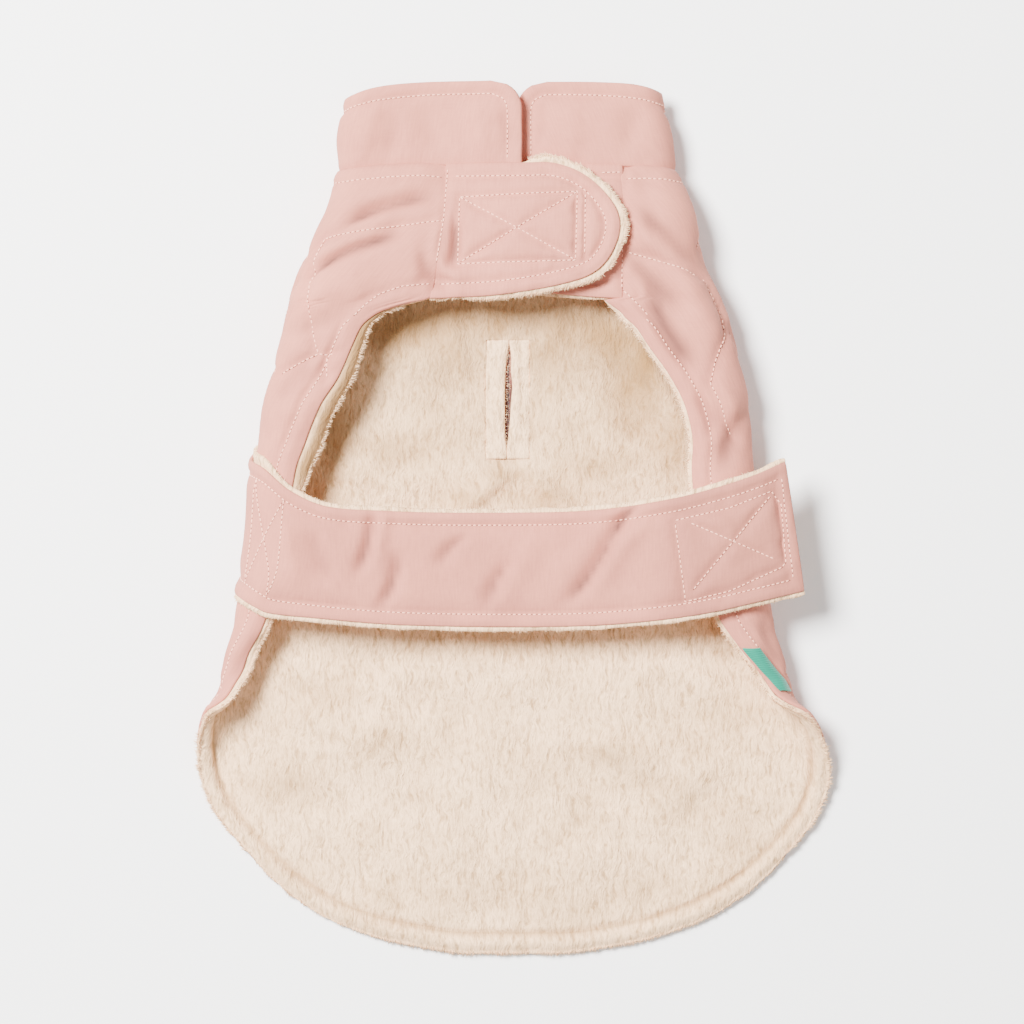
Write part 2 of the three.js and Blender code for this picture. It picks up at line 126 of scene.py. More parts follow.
BODY_RIGHT = columns(BODY_COLUMNS, [
    (176, 82, 12, 180, 15.5, 2.2),
    (158, 88.5, 15, 184, 18, 2.2),
    (142, 93, 17, 188, 19.5, 2.2),
    (126, 97, 17, 188, 23.5, 2.2),
    (109, 104, 17, 186, 31, 2.2),
    (101, 107, 17, 186, 33, 2.2),
    (94, 109, 17, 184, 29, 2.2),
    (86, 111.5, 17, 183, 26.5, 2.2),
    (70, 115, 17, 182, 19, 2),
    (54, 117.5, 17, 182, 13.5, 2),
    (38, 119, 17, 182, 11.5, 2),
    (22, 120, 17, 182, 13, 1.8),
    (4, 121.5, 17, 182, 13, 1.8),
    (-25, 124.5, 16.5, 182, 12, 2),
    (-50, 129.5, 15, 182, 11, 2),
    (-58, 131, 14.5, 180, 8.5, 2),
    (-66, 134, 14, 178, 6.5, 2),
    (-74, 136.7, 13, 170, 5.5, 2),
    (-82, 138.6, 12, 155, 5, 2),
    (-88, 139.6, 12, 130, 7, 1.8),
    (-92, 141.5, 12.5, 105, 10, 1.6),
    (-98, 149, 14, 72, 13, 1.6),
    (-106, 154.2, 14, 56, 11, 1.6),
    (-114, 157, 14, 45, 9.5, 1.6),
    (-122, 158.4, 14, 33, 8.5, 1.6),
    (-130, 158.6, 14, 22, 7.5, 1.6),
    (-150, 152.8, 14, 10, 5, 1.6),
    (-172, 137, 14, 8, 4, 1.6),
])
# how much more cloth rounds the arch's right corner off
ARCH_CORNER = columns(("y", "more"), [
    (96, 0),
    (101, 0.5),
    (103, 2.6),
    (105, 5),
    (107, 7.6),
    (108.2, 8.8),
    (108.9, 0),
])
# the tail hem from left to right
HEM = columns(("x", "y"), [
    (-132, -172),
    (-112, -189.5),
    (-91.5, -202),
    (-60, -212.3),
    (-20, -218),
    (20, -218),
    (62, -212.3),
    (95, -202),
    (117, -189.5),
    (137, -172),
])
# the collar's half widths and fold radius at heights over the neck seam
COLLAR = columns(("h", "left", "right", "r"), [
    (0, 88, 82, 12),
    (14, 87.3, 79.8, 11.6),
    (30, 86.3, 77, 11.2),
    (41, 84.5, 75, 11),
])
# the tabs' edges as seen from above, from join to tip, round it, and back
LEFT_TAB = {
    "top": [(3.5, 175.8), (22, 175.4)],
    "end": [(38.5, 168), (50.5, 153), (51.5, 138), (42, 122.5)],
    "bottom": [(22, 115), (-8, 110.3)],
}
RIGHT_TAB = {
    "top": [(28, 175.8), (0, 175.2)],
    "end": [(-14, 168), (-24, 152), (-24, 136), (-13, 121)],
    "bottom": [(6, 114), (30, 110.6)],
}
# the strap round the left side: its middle and half width at degrees of turn
STRAP_TURN = columns(("angle", "y", "half"), [
    (-42, 4, 31),
    (0, -3.5, 32),
    (45, -8, 32.5),
    (90, -17, 30),
])
# and across the belly: x, height, middle and half width
STRAP_ACROSS = [
    (-95, 37, -22.5, 27.5),
    (-60, 34, -25.5, 27.5),
    (-10, 31.5, -26.5, 27.7),
    (40, 33.5, -25.5, 28),
    (78, 38.8, -21, 29),
    (100, 40, -16.5, 30),
    (120, 39.8, -11, 31),
    (139.5, 36.5, -5, 31.5),
]

# ---------- soft folds, one row each: from, to, how wide and how high (a trough is negative) ----------
FOLD_COLUMNS = ("x0", "y0", "x1", "y1", "width", "height")
FRONT_FOLDS = columns(FOLD_COLUMNS, [
    (-86, 144, -38, 160, 3.0, -4.8),
    (-90, 153, -44, 166, 6, 2.4),
    (-104, 119, -54, 141, 3.0, -5.0),
    (-104, 127, -60, 147, 4.5, 2.2),
    (-29.5, 149, -31.5, 122, 2.6, -3.4),
    (-36.5, 146, -37.5, 122, 3.2, 1.8),
    (-104, 108, -70, 118, 7, 2.4),
    (-112, 92, -84, 103, 5, -2.0),
    (-118, 56, -100, 78, 6, -1.9),
    (-46, 131, -34, 112, 4, -2.4),
    (-34, 124, -26, 114, 3.5, 2.0),
    (54, 133, 90, 102, 5.2, -3.0),
    (62, 142, 93, 112, 5, 3.2),
    (60, 158, 98, 120, 5.5, -3.4),
    (58, 176, 66, 160, 4, -1.7),
    (66, 114, 92, 72, 5.5, -3.7),
    (80, 118, 103, 80, 6, 2.5),
    (118, 56, 103, 24, 5, -3.1),
    (100, 66, 112, 44, 5, 2.2),
    (92, 60, 102, 44, 4, -2.0),
    (-128, -62, -140, -80, 4, -2.0),
    (124, -52, 134, -76, 4, -2.2),
])
LINING_FOLDS = columns(FOLD_COLUMNS, [
    (62, 84, 90, 28, 6, 6.5),
    (48, 78, 74, 32, 7, -3.4),
    (-3, 22, -34, 0, 4.5, 3.9),
    (6, 24, 34, 0, 4.5, 4.2),
    (-16, 12, 16, 10, 5, -2.0),
    (-34, 106, -22, 76, 5, 2.7),
    (22, 106, 18, 80, 5, 2.4),
    (-72, 86, -34, 72, 8, 3.1),
    (-86, 56, -48, 42, 8, -3.2),
    (-94, 28, -40, 14, 8, 3.1),
    (-60, 20, -24, 42, 6, -2.0),
    (-18, 58, -24, 92, 4, -2.0),
    (15, 60, 20, 90, 4, -2.0),
    (-110, -64, -60, -78, 9, -2.7),
    (-118, -96, -58, -120, 10, 3.1),
    (-120, -140, -70, -142, 9, -2.4),
    (-62, -88, -18, -108, 9, -2.5),
    (-40, -150, -8, -190, 10, 2.2),
    (34, -112, 74, -128, 7, 3.9),
    (30, -126, 68, -144, 7, -3.1),
    (58, -76, 110, -88, 9, 2.7),
    (84, -150, 120, -130, 9, -2.4),
    (24, -168, 70, -184, 9, 2.2),
    (-16, -70, 20, -84, 8, 2.0),
])
STRAP_FOLDS = columns(FOLD_COLUMNS, [
    (-70, 2, -77, -28, 2.7, -3.6),
    (-63, 1, -67, -26, 4, 2.1),
    (-57, -20, -65, -44, 2.6, -3.4),
    (60, 5, 50, -8, 2.6, -3.6),
    (51, -6, 25, -44, 2.8, -3.8),
    (66, -2, 40, -40, 5, 2.4),
    (44, 0, 22, -30, 5, 1.4),
    (-2, -22, -14, -44, 2.6, -3.0),
    (4, -18, -6, -44, 4, 1.4),
    (-25, -10, -37, -23, 2.6, -2.8),
    (10, -8, 4, -30, 5, 1.4),
    (-100, -8, -92, -30, 5, -2.1),
    (96, 2, 112, -20, 7, 1.8),
    (-112, -2, -106, -34, 4, 1.9),
])
COLLAR_FOLDS = columns(FOLD_COLUMNS, [
    (-74, 181, -68, 208, 5, 1.7),
    (-62, 181, -60, 203, 5, -1.5),
    (-40, 183, -46, 208, 7, -1.4),
    (-14, 181, -20, 206, 5, 1.9),
    (-6, 200, 2, 186, 4, -1.5),
    (30, 182, 26, 208, 7, 1.7),
    (56, 184, 62, 206, 6, -1.5),
    (12, 184, 14, 206, 4, -1.4),
])

# soft patches of painted shade on the pile, in the arch's hollows and beside the lining's folds: middle, size
# each way and how dark
PAINTED_SHADE_PATCHES = columns(("x", "y", "across", "along", "depth"), [
    (-62, 94, 24, 14, 0.8),
    (-26, 99, 28, 12, 0.6),
    (24, 98, 28, 13, 0.65),
    (26, 80, 20, 14, 0.4),
    (-34, 78, 14, 16, 0.35),
    (48, 90, 17, 15, 0.7),
    (67, 78, 9, 27, 0.95),
    (56, 60, 9, 24, 0.6),
    (82, 38, 9, 22, 0.6),
    (-90, 48, 9, 40, 0.7),
    (-62, 34, 26, 9, 0.45),
    (44, 26, 20, 8, 0.4),
    (-22, 9, 16, 7, 0.5),
    (20, 10, 15, 8, 0.5),
    (-2, 21, 13, 4, 0.55),
    (-6, 96, 6, 8, 0.3),
    (-4, 64, 110, 46, 0.3),
    (-113, -136, 17, 9, 0.25),
    (-106, -92, 20, 9, 0.2),
    (42, -120, 24, 6, 0.28),
    (58, -135, 24, 5, 0.22),
    (-52, -116, 28, 8, 0.14),
    (102, -98, 22, 8, 0.2),
    (10, -192, 46, 7, 0.14),
    (96, -150, 20, 9, 0.16),
    (-4, -66, 60, 6, 0.25),
])


def painted_pile_shade(x, y):
    """Painted shade on the pile, from 0 to 1, in soft patches, with small patches of random tone over it."""
    light = np.ones(np.shape(x))
    for k in range(len(PAINTED_SHADE_PATCHES["x"])):
        x0, y0, across, along, depth = (PAINTED_SHADE_PATCHES[name][k] for name in PAINTED_SHADE_PATCHES)
        far = ((x - x0) / across) ** 2 + ((y - y0) / along) ** 2
        light *= 1 - depth * np.exp(-far * (1 + 0.35 * wander(x, y, 9, 72)))
    small = np.clip(0.12 * wander(x, y, 7, 73) + 0.12 * wander(x, y, 19, 74), 0, 1)
    return 1 - light * (1 - small)


# ---------- quilting on the fronts as seen from above, in open lines ----------
FRONT_QUILTING = [
    [(-94.5, 138.7), (-76, 141.8), (-57.5, 144.3), (-42, 146.6), (-35.5, 147.2)],
    [(-94.5, 138.7), (-100, 127.7), (-101.5, 111.7), (-101.5, 101.2), (-98, 85.2), (-96.5, 80.7)],
    [(-96.5, 80.7), (-106.5, 76.2), (-116.5, 70.7)],
    [(-96.5, 80.7), (-92.5, 80.2), (-88, 81)],
    [(-92.5, 79), (-92.5, 68.7)],
    [(57, 131.4), (74.5, 126.2), (83, 123.7), (94.5, 119.2)],
    [(106, 92), (100.5, 76.2), (98, 66.2), (102.5, 57.2), (106, 46.7), (111.5, 39.7)],
    [(96, 119), (103, 104), (106, 92)],
]
TAB_SEAMS = [
    [(-32.5, 173.5), (-34.5, 147), (-40.3, 112)],
    [(57, 176), (54.6, 152), (54.2, 112)],
]
HEX_SIDE = 48.0  # side of the hexagons quilted over the back


def column_at(rows, key, name, at):
    """Smooth interpolation of a table's column, through its rows and never past them."""
    order = np.argsort(rows[key])
    xs, ys = rows[key][order], rows[name][order]
    x = np.clip(np.asarray(at, dtype=float), xs[0], xs[-1])
    slope = np.diff(ys) / np.diff(xs)
    inner = np.zeros(len(xs) - 2)
    a, b = slope[:-1], slope[1:]
    same = a * b > 0
    inner[same] = 2 * a[same] * b[same] / (a[same] + b[same])
    tangent = np.concatenate([[slope[0]], inner, [slope[-1]]])
    i = np.clip(np.searchsorted(xs, x, side="right") - 1, 0, len(xs) - 2)
    span = xs[i + 1] - xs[i]
    t = (x - xs[i]) / span
    return hermite(t, ys[i], ys[i + 1], span * tangent[i], span * tangent[i + 1])


def hermite(u, a, b, way_a, way_b):
    """A cubic from a to b that leaves along way_a and arrives along way_b."""
    return ((2 * u**3 - 3 * u**2 + 1) * a + (u**3 - 2 * u**2 + u) * way_a
            + (3 * u**2 - 2 * u**3) * b + (u**3 - u**2) * way_b)


def unit(ways):
    """The same directions with length one."""
    return ways / np.maximum(np.linalg.norm(ways, axis=-1, keepdims=True), 1e-9)


def run_along(points):
    """How far along a line each of its points is."""
    return np.concatenate([[0], np.cumsum(np.linalg.norm(np.diff(points, axis=0), axis=1))])


def ease(start, end, x):
    """A smooth step from 0 at the start to 1 at the end."""
    t = np.clip((x - start) / (end - start), 0, 1)
    return t * t * (3 - 2 * t)


def dent(distance, half):
    """A rounded dip or bump, one at no distance and nearly nothing past twice its half width."""
    return np.exp(-((distance / half) ** 2))


def wander(x, y, size, seed):
    """Smooth noise from -1 to 1 with hills of about that size."""
    lattice = np.random.default_rng(seed).uniform(-1, 1, (64, 64))
    u, v = x / size + 17.3, y / size + 11.9
    i, j = np.floor(u).astype(int), np.floor(v).astype(int)
    fu, fv = u - i, v - j
    fu, fv = fu * fu * (3 - 2 * fu), fv * fv * (3 - 2 * fv)
    at = lambda a, b: lattice[a % 64, b % 64]  # noqa: E731
    low = at(i, j) * (1 - fu) + at(i + 1, j) * fu
    high = at(i, j + 1) * (1 - fu) + at(i + 1, j + 1) * fu
    return low * (1 - fv) + high * fv


def folds_at(folds, x, y):
    """The height of all soft folds at plan points: each fades at its ends."""
    total = np.zeros(np.shape(x))
    for k in range(len(folds["x0"])):
        x0, y0, x1, y1 = (folds[name][k] for name in ("x0", "y0", "x1", "y1"))
        length = math.hypot(x1 - x0, y1 - y0)
        dx, dy = (x1 - x0) / length, (y1 - y0) / length
        along = (x - x0) * dx + (y - y0) * dy
        bend = 0.05 * length * np.sin(np.pi * np.clip(along / length, 0, 1)) * (-1) ** k
        across = (x - x0) * -dy + (y - y0) * dx - bend
        width = folds["width"][k] * (0.75 + 0.5 * np.clip(along / length, 0, 1))
        fade = ease(-6, 0.3 * length, along) * ease(length + 6, 0.7 * length, along)
        total += folds["height"][k] * np.exp(-((across / width) ** 2)) * fade
    return total


def painted_crease_shade(folds, x, y):
    """Painted shade down in the cloth's creases, from 0 to 1."""
    return np.clip(-folds_at(folds, x, y) / 4.2, 0, 1) ** 1.9 * 0.95


def side_section(rows, y):
    """Where a side fold starts in cloth length, its radius and wrap, and where the cloth ends."""
    get = lambda name: column_at(rows, "y", name, y)  # noqa: E731
    r, wrap, run = get("r"), np.radians(get("wrap")), get("run")
    reach = np.where(wrap >= np.pi / 2, r, r * np.sin(wrap) + run * np.cos(wrap))
    start = get("out") - reach
    return start, r, wrap, start + r * wrap + run


def section_point(start, r, wrap, s):
    """How far out and how high a section is at cloth length s."""
    turn = np.clip((s - start) / r, 0, wrap)
    rest = np.maximum(s - start - r * wrap, 0)
    x = np.minimum(s, start) + r * np.sin(turn) + rest * np.cos(wrap)
    return x, r * (1 - np.cos(turn)) + rest * np.sin(wrap)


def neck_drop(x, z):
    """How far the neck seam dips towards the tail."""
    side = np.minimum(np.abs(x) / 85, 1) ** 4
    return np.where(z > 12, NECK_DROP * side, NECK_DROP * (1.4 - 0.4 * side))


def body_surface(s, y):
    """The body's outer face at station y and cloth length s from the middle, negative on the left."""
    s, y = np.broadcast_arrays(np.asarray(s, dtype=float), np.asarray(y, dtype=float))
    xl, zl = section_point(*side_section(BODY_LEFT, y)[:3], np.abs(s))
    xr, zr = section_point(*side_section(BODY_RIGHT, y)[:3], np.abs(s))
    left = s < 0
    x, z = np.where(left, -xl, xr), np.where(left, zl, zr)
    return np.stack([x, y - neck_drop(x, z) * ease(140, NECK_Y, y), z], axis=-1)


def cloth_length(x, y):
    """Cloth length of a point of the body's upper layer that is seen at x from above."""
    side = BODY_LEFT if x < 0 else BODY_RIGHT
    start, r, wrap, _ = (float(v) for v in side_section(side, y))
    over = abs(x) - start
    if over > r * math.sin(wrap) and over > 0:
        s = start + r * (math.pi - math.asin(min(over / r, 1)))
    else:
        s = start + r * wrap + (start + r * math.sin(wrap) - abs(x)) / abs(math.cos(wrap))
    return -s if x < 0 else s


def overlap_lift(is_left, x):
    """How the left tab rises over the right one, and the right one sinks under it."""
    up = TAB_LIFT * ease(-36, 10, x) - TAB_TIP_DROP * ease(25, 52, x)
    return np.where(is_left, up, -UNDER_TAB_DROP * ease(54, -24, x))


def collar_surface(s, h):
    """The collar's outer face: s runs round it from the middle of the back, h up from the neck seam."""
    s, h = np.broadcast_arrays(np.asarray(s, dtype=float), np.asarray(h, dtype=float))
    r = column_at(COLLAR, "h", "r", h)
    left = s < 0
    out = np.where(left, column_at(COLLAR, "h", "left", h), column_at(COLLAR, "h", "right", h))
    x, z = section_point(out - r, r, np.pi, np.abs(s))
    x = np.where(left, -x, x)
    front = z > 12
    side = np.minimum(np.abs(x) / 84, 1) ** 4
    top = COLLAR_HEIGHT - 5 * np.where(front, side, 1)
    lift = np.where(front, overlap_lift(left, x), 0)
    y = NECK_Y + GAP - neck_drop(x, z) + h / COLLAR_HEIGHT * top
    return np.stack([x, y, z + lift], axis=-1)


def catmull(points, t):
    """A curve through points, at places t that count the points from 0."""
    points = np.asarray(points, dtype=float)
    knots = np.concatenate([[0], np.cumsum(np.sqrt(np.linalg.norm(np.diff(points, axis=0), axis=1)))])
    d = np.diff(knots)[:, None]
    chord = np.diff(points, axis=0) / d
    tangent = np.empty_like(points)
    tangent[0], tangent[-1] = chord[0], chord[-1]
    tangent[1:-1] = chord[:-1] + chord[1:] - (points[2:] - points[:-2]) / (d[:-1] + d[1:])
    i = np.clip(np.floor(t).astype(int), 0, len(points) - 2)
    u = (np.asarray(t) - i)[..., None]
    span = d[i]
    return hermite(u, points[i], points[i + 1], span * tangent[i], span * tangent[i + 1])


def strap_points(w):
    """The stations of one lengthwise line of the strap, at the share w of its half width."""
    points = []
    for angle in range(-42, 91, 12):
        y = column_at(STRAP_TURN, "angle", "y", angle) + w * column_at(STRAP_TURN, "angle", "half", angle)
        start, r, _, _ = side_section(BODY_LEFT, y)
        outer = r + STRAP_CLEAR + STRAP_WALL
        turn = math.radians(angle)
        points.append((-start - outer * math.cos(turn), y, r + outer * math.sin(turn)))
    for k, (x, z, y, half) in enumerate(STRAP_ACROSS):
        slant = w * STRAP_END_SLANT if k == len(STRAP_ACROSS) - 1 else 0
        points.append((x - slant, y + w * half, z))
    return points


def strap_surface(t, w):
    """The strap's outer face: t counts its stations from the sewn end, w runs across from -1 to 1."""
    t, w = np.broadcast_arrays(np.asarray(t, dtype=float), np.asarray(w, dtype=float))
    out = np.empty(t.shape + (3,))
    shares = np.round(w, 6)
    for share in np.unique(shares):
        pick = shares == share
        out[pick] = catmull(strap_points(float(share)), t[pick])
    return out


def surface_normals(grid, hint, at=None):
    """Unit normals of a grid of points, turned so that the one at the given cell goes with hint."""
    du = np.gradient(grid, axis=1)
    dv = np.gradient(grid, axis=0)
    normal = unit(np.cross(du, dv))
    j, i = at or (grid.shape[0] // 2, grid.shape[1] // 2)
    return normal if np.dot(normal[j, i], hint) > 0 else -normal


def to_edge(grid, edge_points):
    """Distance from each grid point to the nearest of the edge points."""
    tree = KDTree(len(edge_points))
    for k, p in enumerate(edge_points):
        tree.insert(p, k)
    tree.balance()
    flat = grid.reshape(-1, grid.shape[-1])
    found = [tree.find(p if len(p) == 3 else (*p, 0))[2] for p in flat.tolist()]
    return np.array(found).reshape(grid.shape[:-1])


def to_lines(s, y, lines):
    """Distance in the cloth from each point to the nearest of some open lines."""
    best = np.full(s.shape, 1e3)
    for line in lines:
        for (s0, y0), (s1, y1) in zip(line[:-1], line[1:]):
            ds, dy = s1 - s0, y1 - y0
            t = np.clip(((s - s0) * ds + (y - y0) * dy) / (ds * ds + dy * dy + 1e-9), 0, 1)
            best = np.minimum(best, np.hypot(s - s0 - t * ds, y - y0 - t * dy))
    return best


def wall_object(name, grid, normal, outer, inner, uv, material, roll=0.6, rim=4, shade=None):
    """A closed cloth wall between two depths under a grid of points, with a rounded rim."""
    rows, cols = grid.shape[:2]
    ring = (
        [(0, i) for i in range(cols - 1)]
        + [(j, cols - 1) for j in range(rows - 1)]
        + [(rows - 1, i) for i in range(cols - 1, 0, -1)]
        + [(j, 0) for j in range(rows - 1, 0, -1)]
    )
    jj, ii = np.array(ring).T
    step_in = grid[np.clip(jj, 1, rows - 2), np.clip(ii, 1, cols - 2)]
    away = grid[jj, ii] - step_in
    away = unit(away - normal[jj, ii] * np.sum(away * normal[jj, ii], axis=1, keepdims=True))
    outer = np.broadcast_to(outer, (rows, cols))
    inner = np.broadcast_to(inner, (rows, cols))
    layers = [grid + normal * outer[..., None], grid + normal * inner[..., None]]
    middle = (outer + inner)[jj, ii] / 2
    half = (inner - outer)[jj, ii] / 2
    loops = []
    for k in range(1, rim):
        angle = math.pi * k / rim
        depth = middle - half * math.cos(angle)
        loops.append(grid[jj, ii] + normal[jj, ii] * depth[:, None] + away * roll * math.sin(angle))
    RIMS[name] = (grid[jj, ii] + normal[jj, ii] * outer[jj, ii][:, None], away, -normal[jj, ii], jj, ii)
    points = np.concatenate([layers[0].reshape(-1, 3), layers[1].reshape(-1, 3)] + loops)
    count = rows * cols
    index = np.arange(count).reshape(rows, cols)
    quads = [np.stack([index[:-1, :-1], index[:-1, 1:], index[1:, 1:], index[1:, :-1]], -1).reshape(-1, 4)]
    quads.append(quads[0][:, ::-1] + count)
    edge = index[jj, ii]
    chain = [edge] + [2 * count + k * len(ring) + np.arange(len(ring)) for k in range(rim - 1)]
    chain.append(edge + count)
    for a, b in zip(chain[:-1], chain[1:]):
        quads.append(np.stack([a, b, np.roll(b, -1), np.roll(a, -1)], -1))
    quads = np.concatenate(quads)
    # shade is painted shade, one array for both faces or a pair for the outer and inner face; it goes into
    # the pile map
    shade = np.zeros((rows, cols)) if shade is None else shade
    shades = shade if isinstance(shade, tuple) else (shade, shade)
    out_shade, in_shade = (np.stack([part] * 2, axis=-1) for part in shades)
    maps = []
    for out_map, in_map in ((uv * MM, uv * MM), (out_shade, in_shade)):
        faces = [out_map.reshape(-1, 2), in_map.reshape(-1, 2)]
        maps.append(np.concatenate(faces + [out_map[jj, ii]] * (rim - 1)))
    return mesh_object(name, points, quads, maps, material)


def mesh_object(name, points, quads, maps, material):
    """A smooth mesh in metres from points and quads in millimetres, with faces turned outwards."""
    a, b, c, d = (points[quads[:, k]] for k in range(4))
    volume = np.sum(a * np.cross(b, c)) + np.sum(a * np.cross(c, d))
    if volume < 0:
        quads = quads[:, ::-1]
    mesh = bpy.data.meshes.new(name)
    mesh.vertices.add(len(points))
    mesh.vertices.foreach_set("co", ((points + CENTRE) * MM).astype(np.float32).ravel())
    mesh.loops.add(quads.size)
    mesh.loops.foreach_set("vertex_index", quads.astype(np.int32).ravel())
    mesh.polygons.add(len(quads))
    mesh.polygons.foreach_set("loop_start", np.arange(0, quads.size, 4, dtype=np.int32))
    mesh.update(calc_edges=True)
    mesh.polygons.foreach_set("use_smooth", np.ones(len(quads), dtype=bool))
    # the pile map carries painted shade in its first value
    for label, values in zip(("cloth", "pile"), maps):
        layer = mesh.uv_layers.new(name=label)
        layer.data.foreach_set("uv", values[quads.ravel()].astype(np.float32).ravel())
    mesh.validate()
    made = bpy.data.objects.new(name, mesh)
    bpy.context.scene.collection.objects.link(made)
    if material:
        mesh.materials.append(material)
    return made


def cut_through(piece, low, high):
    """Takes a box out of a piece."""
    xs, ys, zs = zip(low, high)
    corners = np.array([[x, y, z] for z in zs for y in ys for x in xs])
    sides = np.array([[0, 1, 3, 2], [4, 6, 7, 5], [0, 4, 5, 1], [2, 3, 7, 6], [0, 2, 6, 4], [1, 5, 7, 3]])
    cutter = mesh_object("cutter", corners, sides, [np.zeros((8, 2))] * 2, None)
    cut = piece.modifiers.new("slit", "BOOLEAN")
    cut.object = cutter
    cut.solver = "EXACT"
    shape = bpy.data.meshes.new_from_object(piece.evaluated_get(bpy.context.evaluated_depsgraph_get()))
    piece.modifiers.clear()
    piece.data = shape
    bpy.data.objects.remove(cutter)


def finish_piece(piece, nodes):
    """Says what a finished piece rides on and hides the parts of the imported model that it replaces."""
    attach(piece, "root")
    if nodes:
        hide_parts(*nodes)
    return piece


# ---------- materials ----------
def linear(code):
    """An sRGB hex colour as linear red, green, blue and alpha."""
    parts = [int(code[k:k + 2], 16) / 255 for k in (1, 3, 5)]
    return [p / 12.92 if p <= 0.04045 else ((p + 0.055) / 1.055) ** 2.4 for p in parts] + [1.0]


def add_node(tree, kind, values=None, links=None, **settings):
    """Adds one node, with its settings, its sockets' values and what is linked into them."""
    made = tree.nodes.new(kind)
    for key, value in settings.items():
        setattr(made, key, value)
    for key, value in (values or {}).items():
        made.inputs[key].default_value = value
    for key, source in (links or {}).items():
        tree.links.new(source, made.inputs[key])
    return made


def new_material(name, roughness, sheen, sheen_tint="#ffffff", sheen_roughness=0.5):
    """A material with its node tree and its shader, soft and without gloss."""
    material = bpy.data.materials.new(name)
    material.use_nodes = True
    tree = material.node_tree
    shader = tree.nodes["Principled BSDF"]
    shader.inputs["Roughness"].default_value = roughness
    shader.inputs["Sheen Weight"].default_value = sheen
    shader.inputs["Sheen Roughness"].default_value = sheen_roughness
    shader.inputs["Sheen Tint"].default_value = linear(sheen_tint)
    shader.inputs["Specular IOR Level"].default_value = 0.25
    return material, tree, shader


def woven_cloth(name, light, shade, painted_shade_colour):
    """Matte plain-weave polyester over thin wadding: fine threads, slightly heathered, no gloss, and painted
    shade mixed in from the pile map.
    """
    # The real threads lie about 0.3 mm apart and are drawn about 1 mm apart, as fine as shows.
    material, tree, shader = new_material(name, 0.9, 0.05)
    uv = add_node(tree, "ShaderNodeUVMap", uv_map="cloth").outputs["UV"]
    threads = []
    for stretch, width in (((1.0, 0.1, 1.0), 0.9 * MM), ((0.16, 1.0, 1.0), 1.0 * MM)):
        laid = add_node(tree, "ShaderNodeMapping", {"Scale": stretch}, {"Vector": uv})
        threads.append(add_node(tree, "ShaderNodeTexNoise",
                                {"Scale": 1 / width, "Detail": 2.0, "Roughness": 0.6},
                                {"Vector": laid.outputs["Vector"]}).outputs["Fac"])
    weft = add_node(tree, "ShaderNodeMath", {1: 0.35}, {0: threads[1]}, operation="MULTIPLY").outputs[0]
    woven = add_node(tree, "ShaderNodeMath", links={0: threads[0], 1: weft}, operation="ADD").outputs[0]
    cloudy = add_node(tree, "ShaderNodeTexNoise", {"Scale": 30.0, "Detail": 3.0},
                      {"Vector": uv}).outputs["Fac"]
    tone = add_node(tree, "ShaderNodeMath", links={0: woven, 1: cloudy}, operation="ADD").outputs[0]
    tone = add_node(tree, "ShaderNodeMapRange", {"From Min": 0.55, "From Max": 1.65},
                    {"Value": tone}).outputs[0]
    tint = add_node(tree, "ShaderNodeMix", {"A": linear(shade), "B": linear(light)}, {"Factor": tone},
                    data_type="RGBA")
    # painted shade from the first value of the pile map: creases, the inside of the leash slit and the
    # strap's free end go towards the painted shade colour
    painted_shade_factor = add_node(tree, "ShaderNodeUVMap", uv_map="pile").outputs["UV"]
    painted_shade_factor = add_node(tree, "ShaderNodeSeparateXYZ", links={"Vector": painted_shade_factor}).outputs["X"]
    tint = add_node(tree, "ShaderNodeMix", {"B": linear(painted_shade_colour)},
                    {"Factor": painted_shade_factor, "A": tint.outputs["Result"]},
                    data_type="RGBA")
    tree.links.new(tint.outputs["Result"], shader.inputs["Base Color"])
    weave_bump = add_node(tree, "ShaderNodeBump", {"Strength": 0.25, "Distance": 0.2 * MM}, {"Height": woven})
    uneven = add_node(tree, "ShaderNodeTexNoise", {"Scale": 150.0, "Detail": 2.0}, {"Vector": uv})
    cloth_bump = add_node(tree, "ShaderNodeBump", {"Strength": 0.5, "Distance": 0.5 * MM},
                          {"Height": uneven.outputs["Fac"], "Normal": weave_bump.outputs["Normal"]})
    tree.links.new(cloth_bump.outputs["Normal"], shader.inputs["Normal"])
    return material


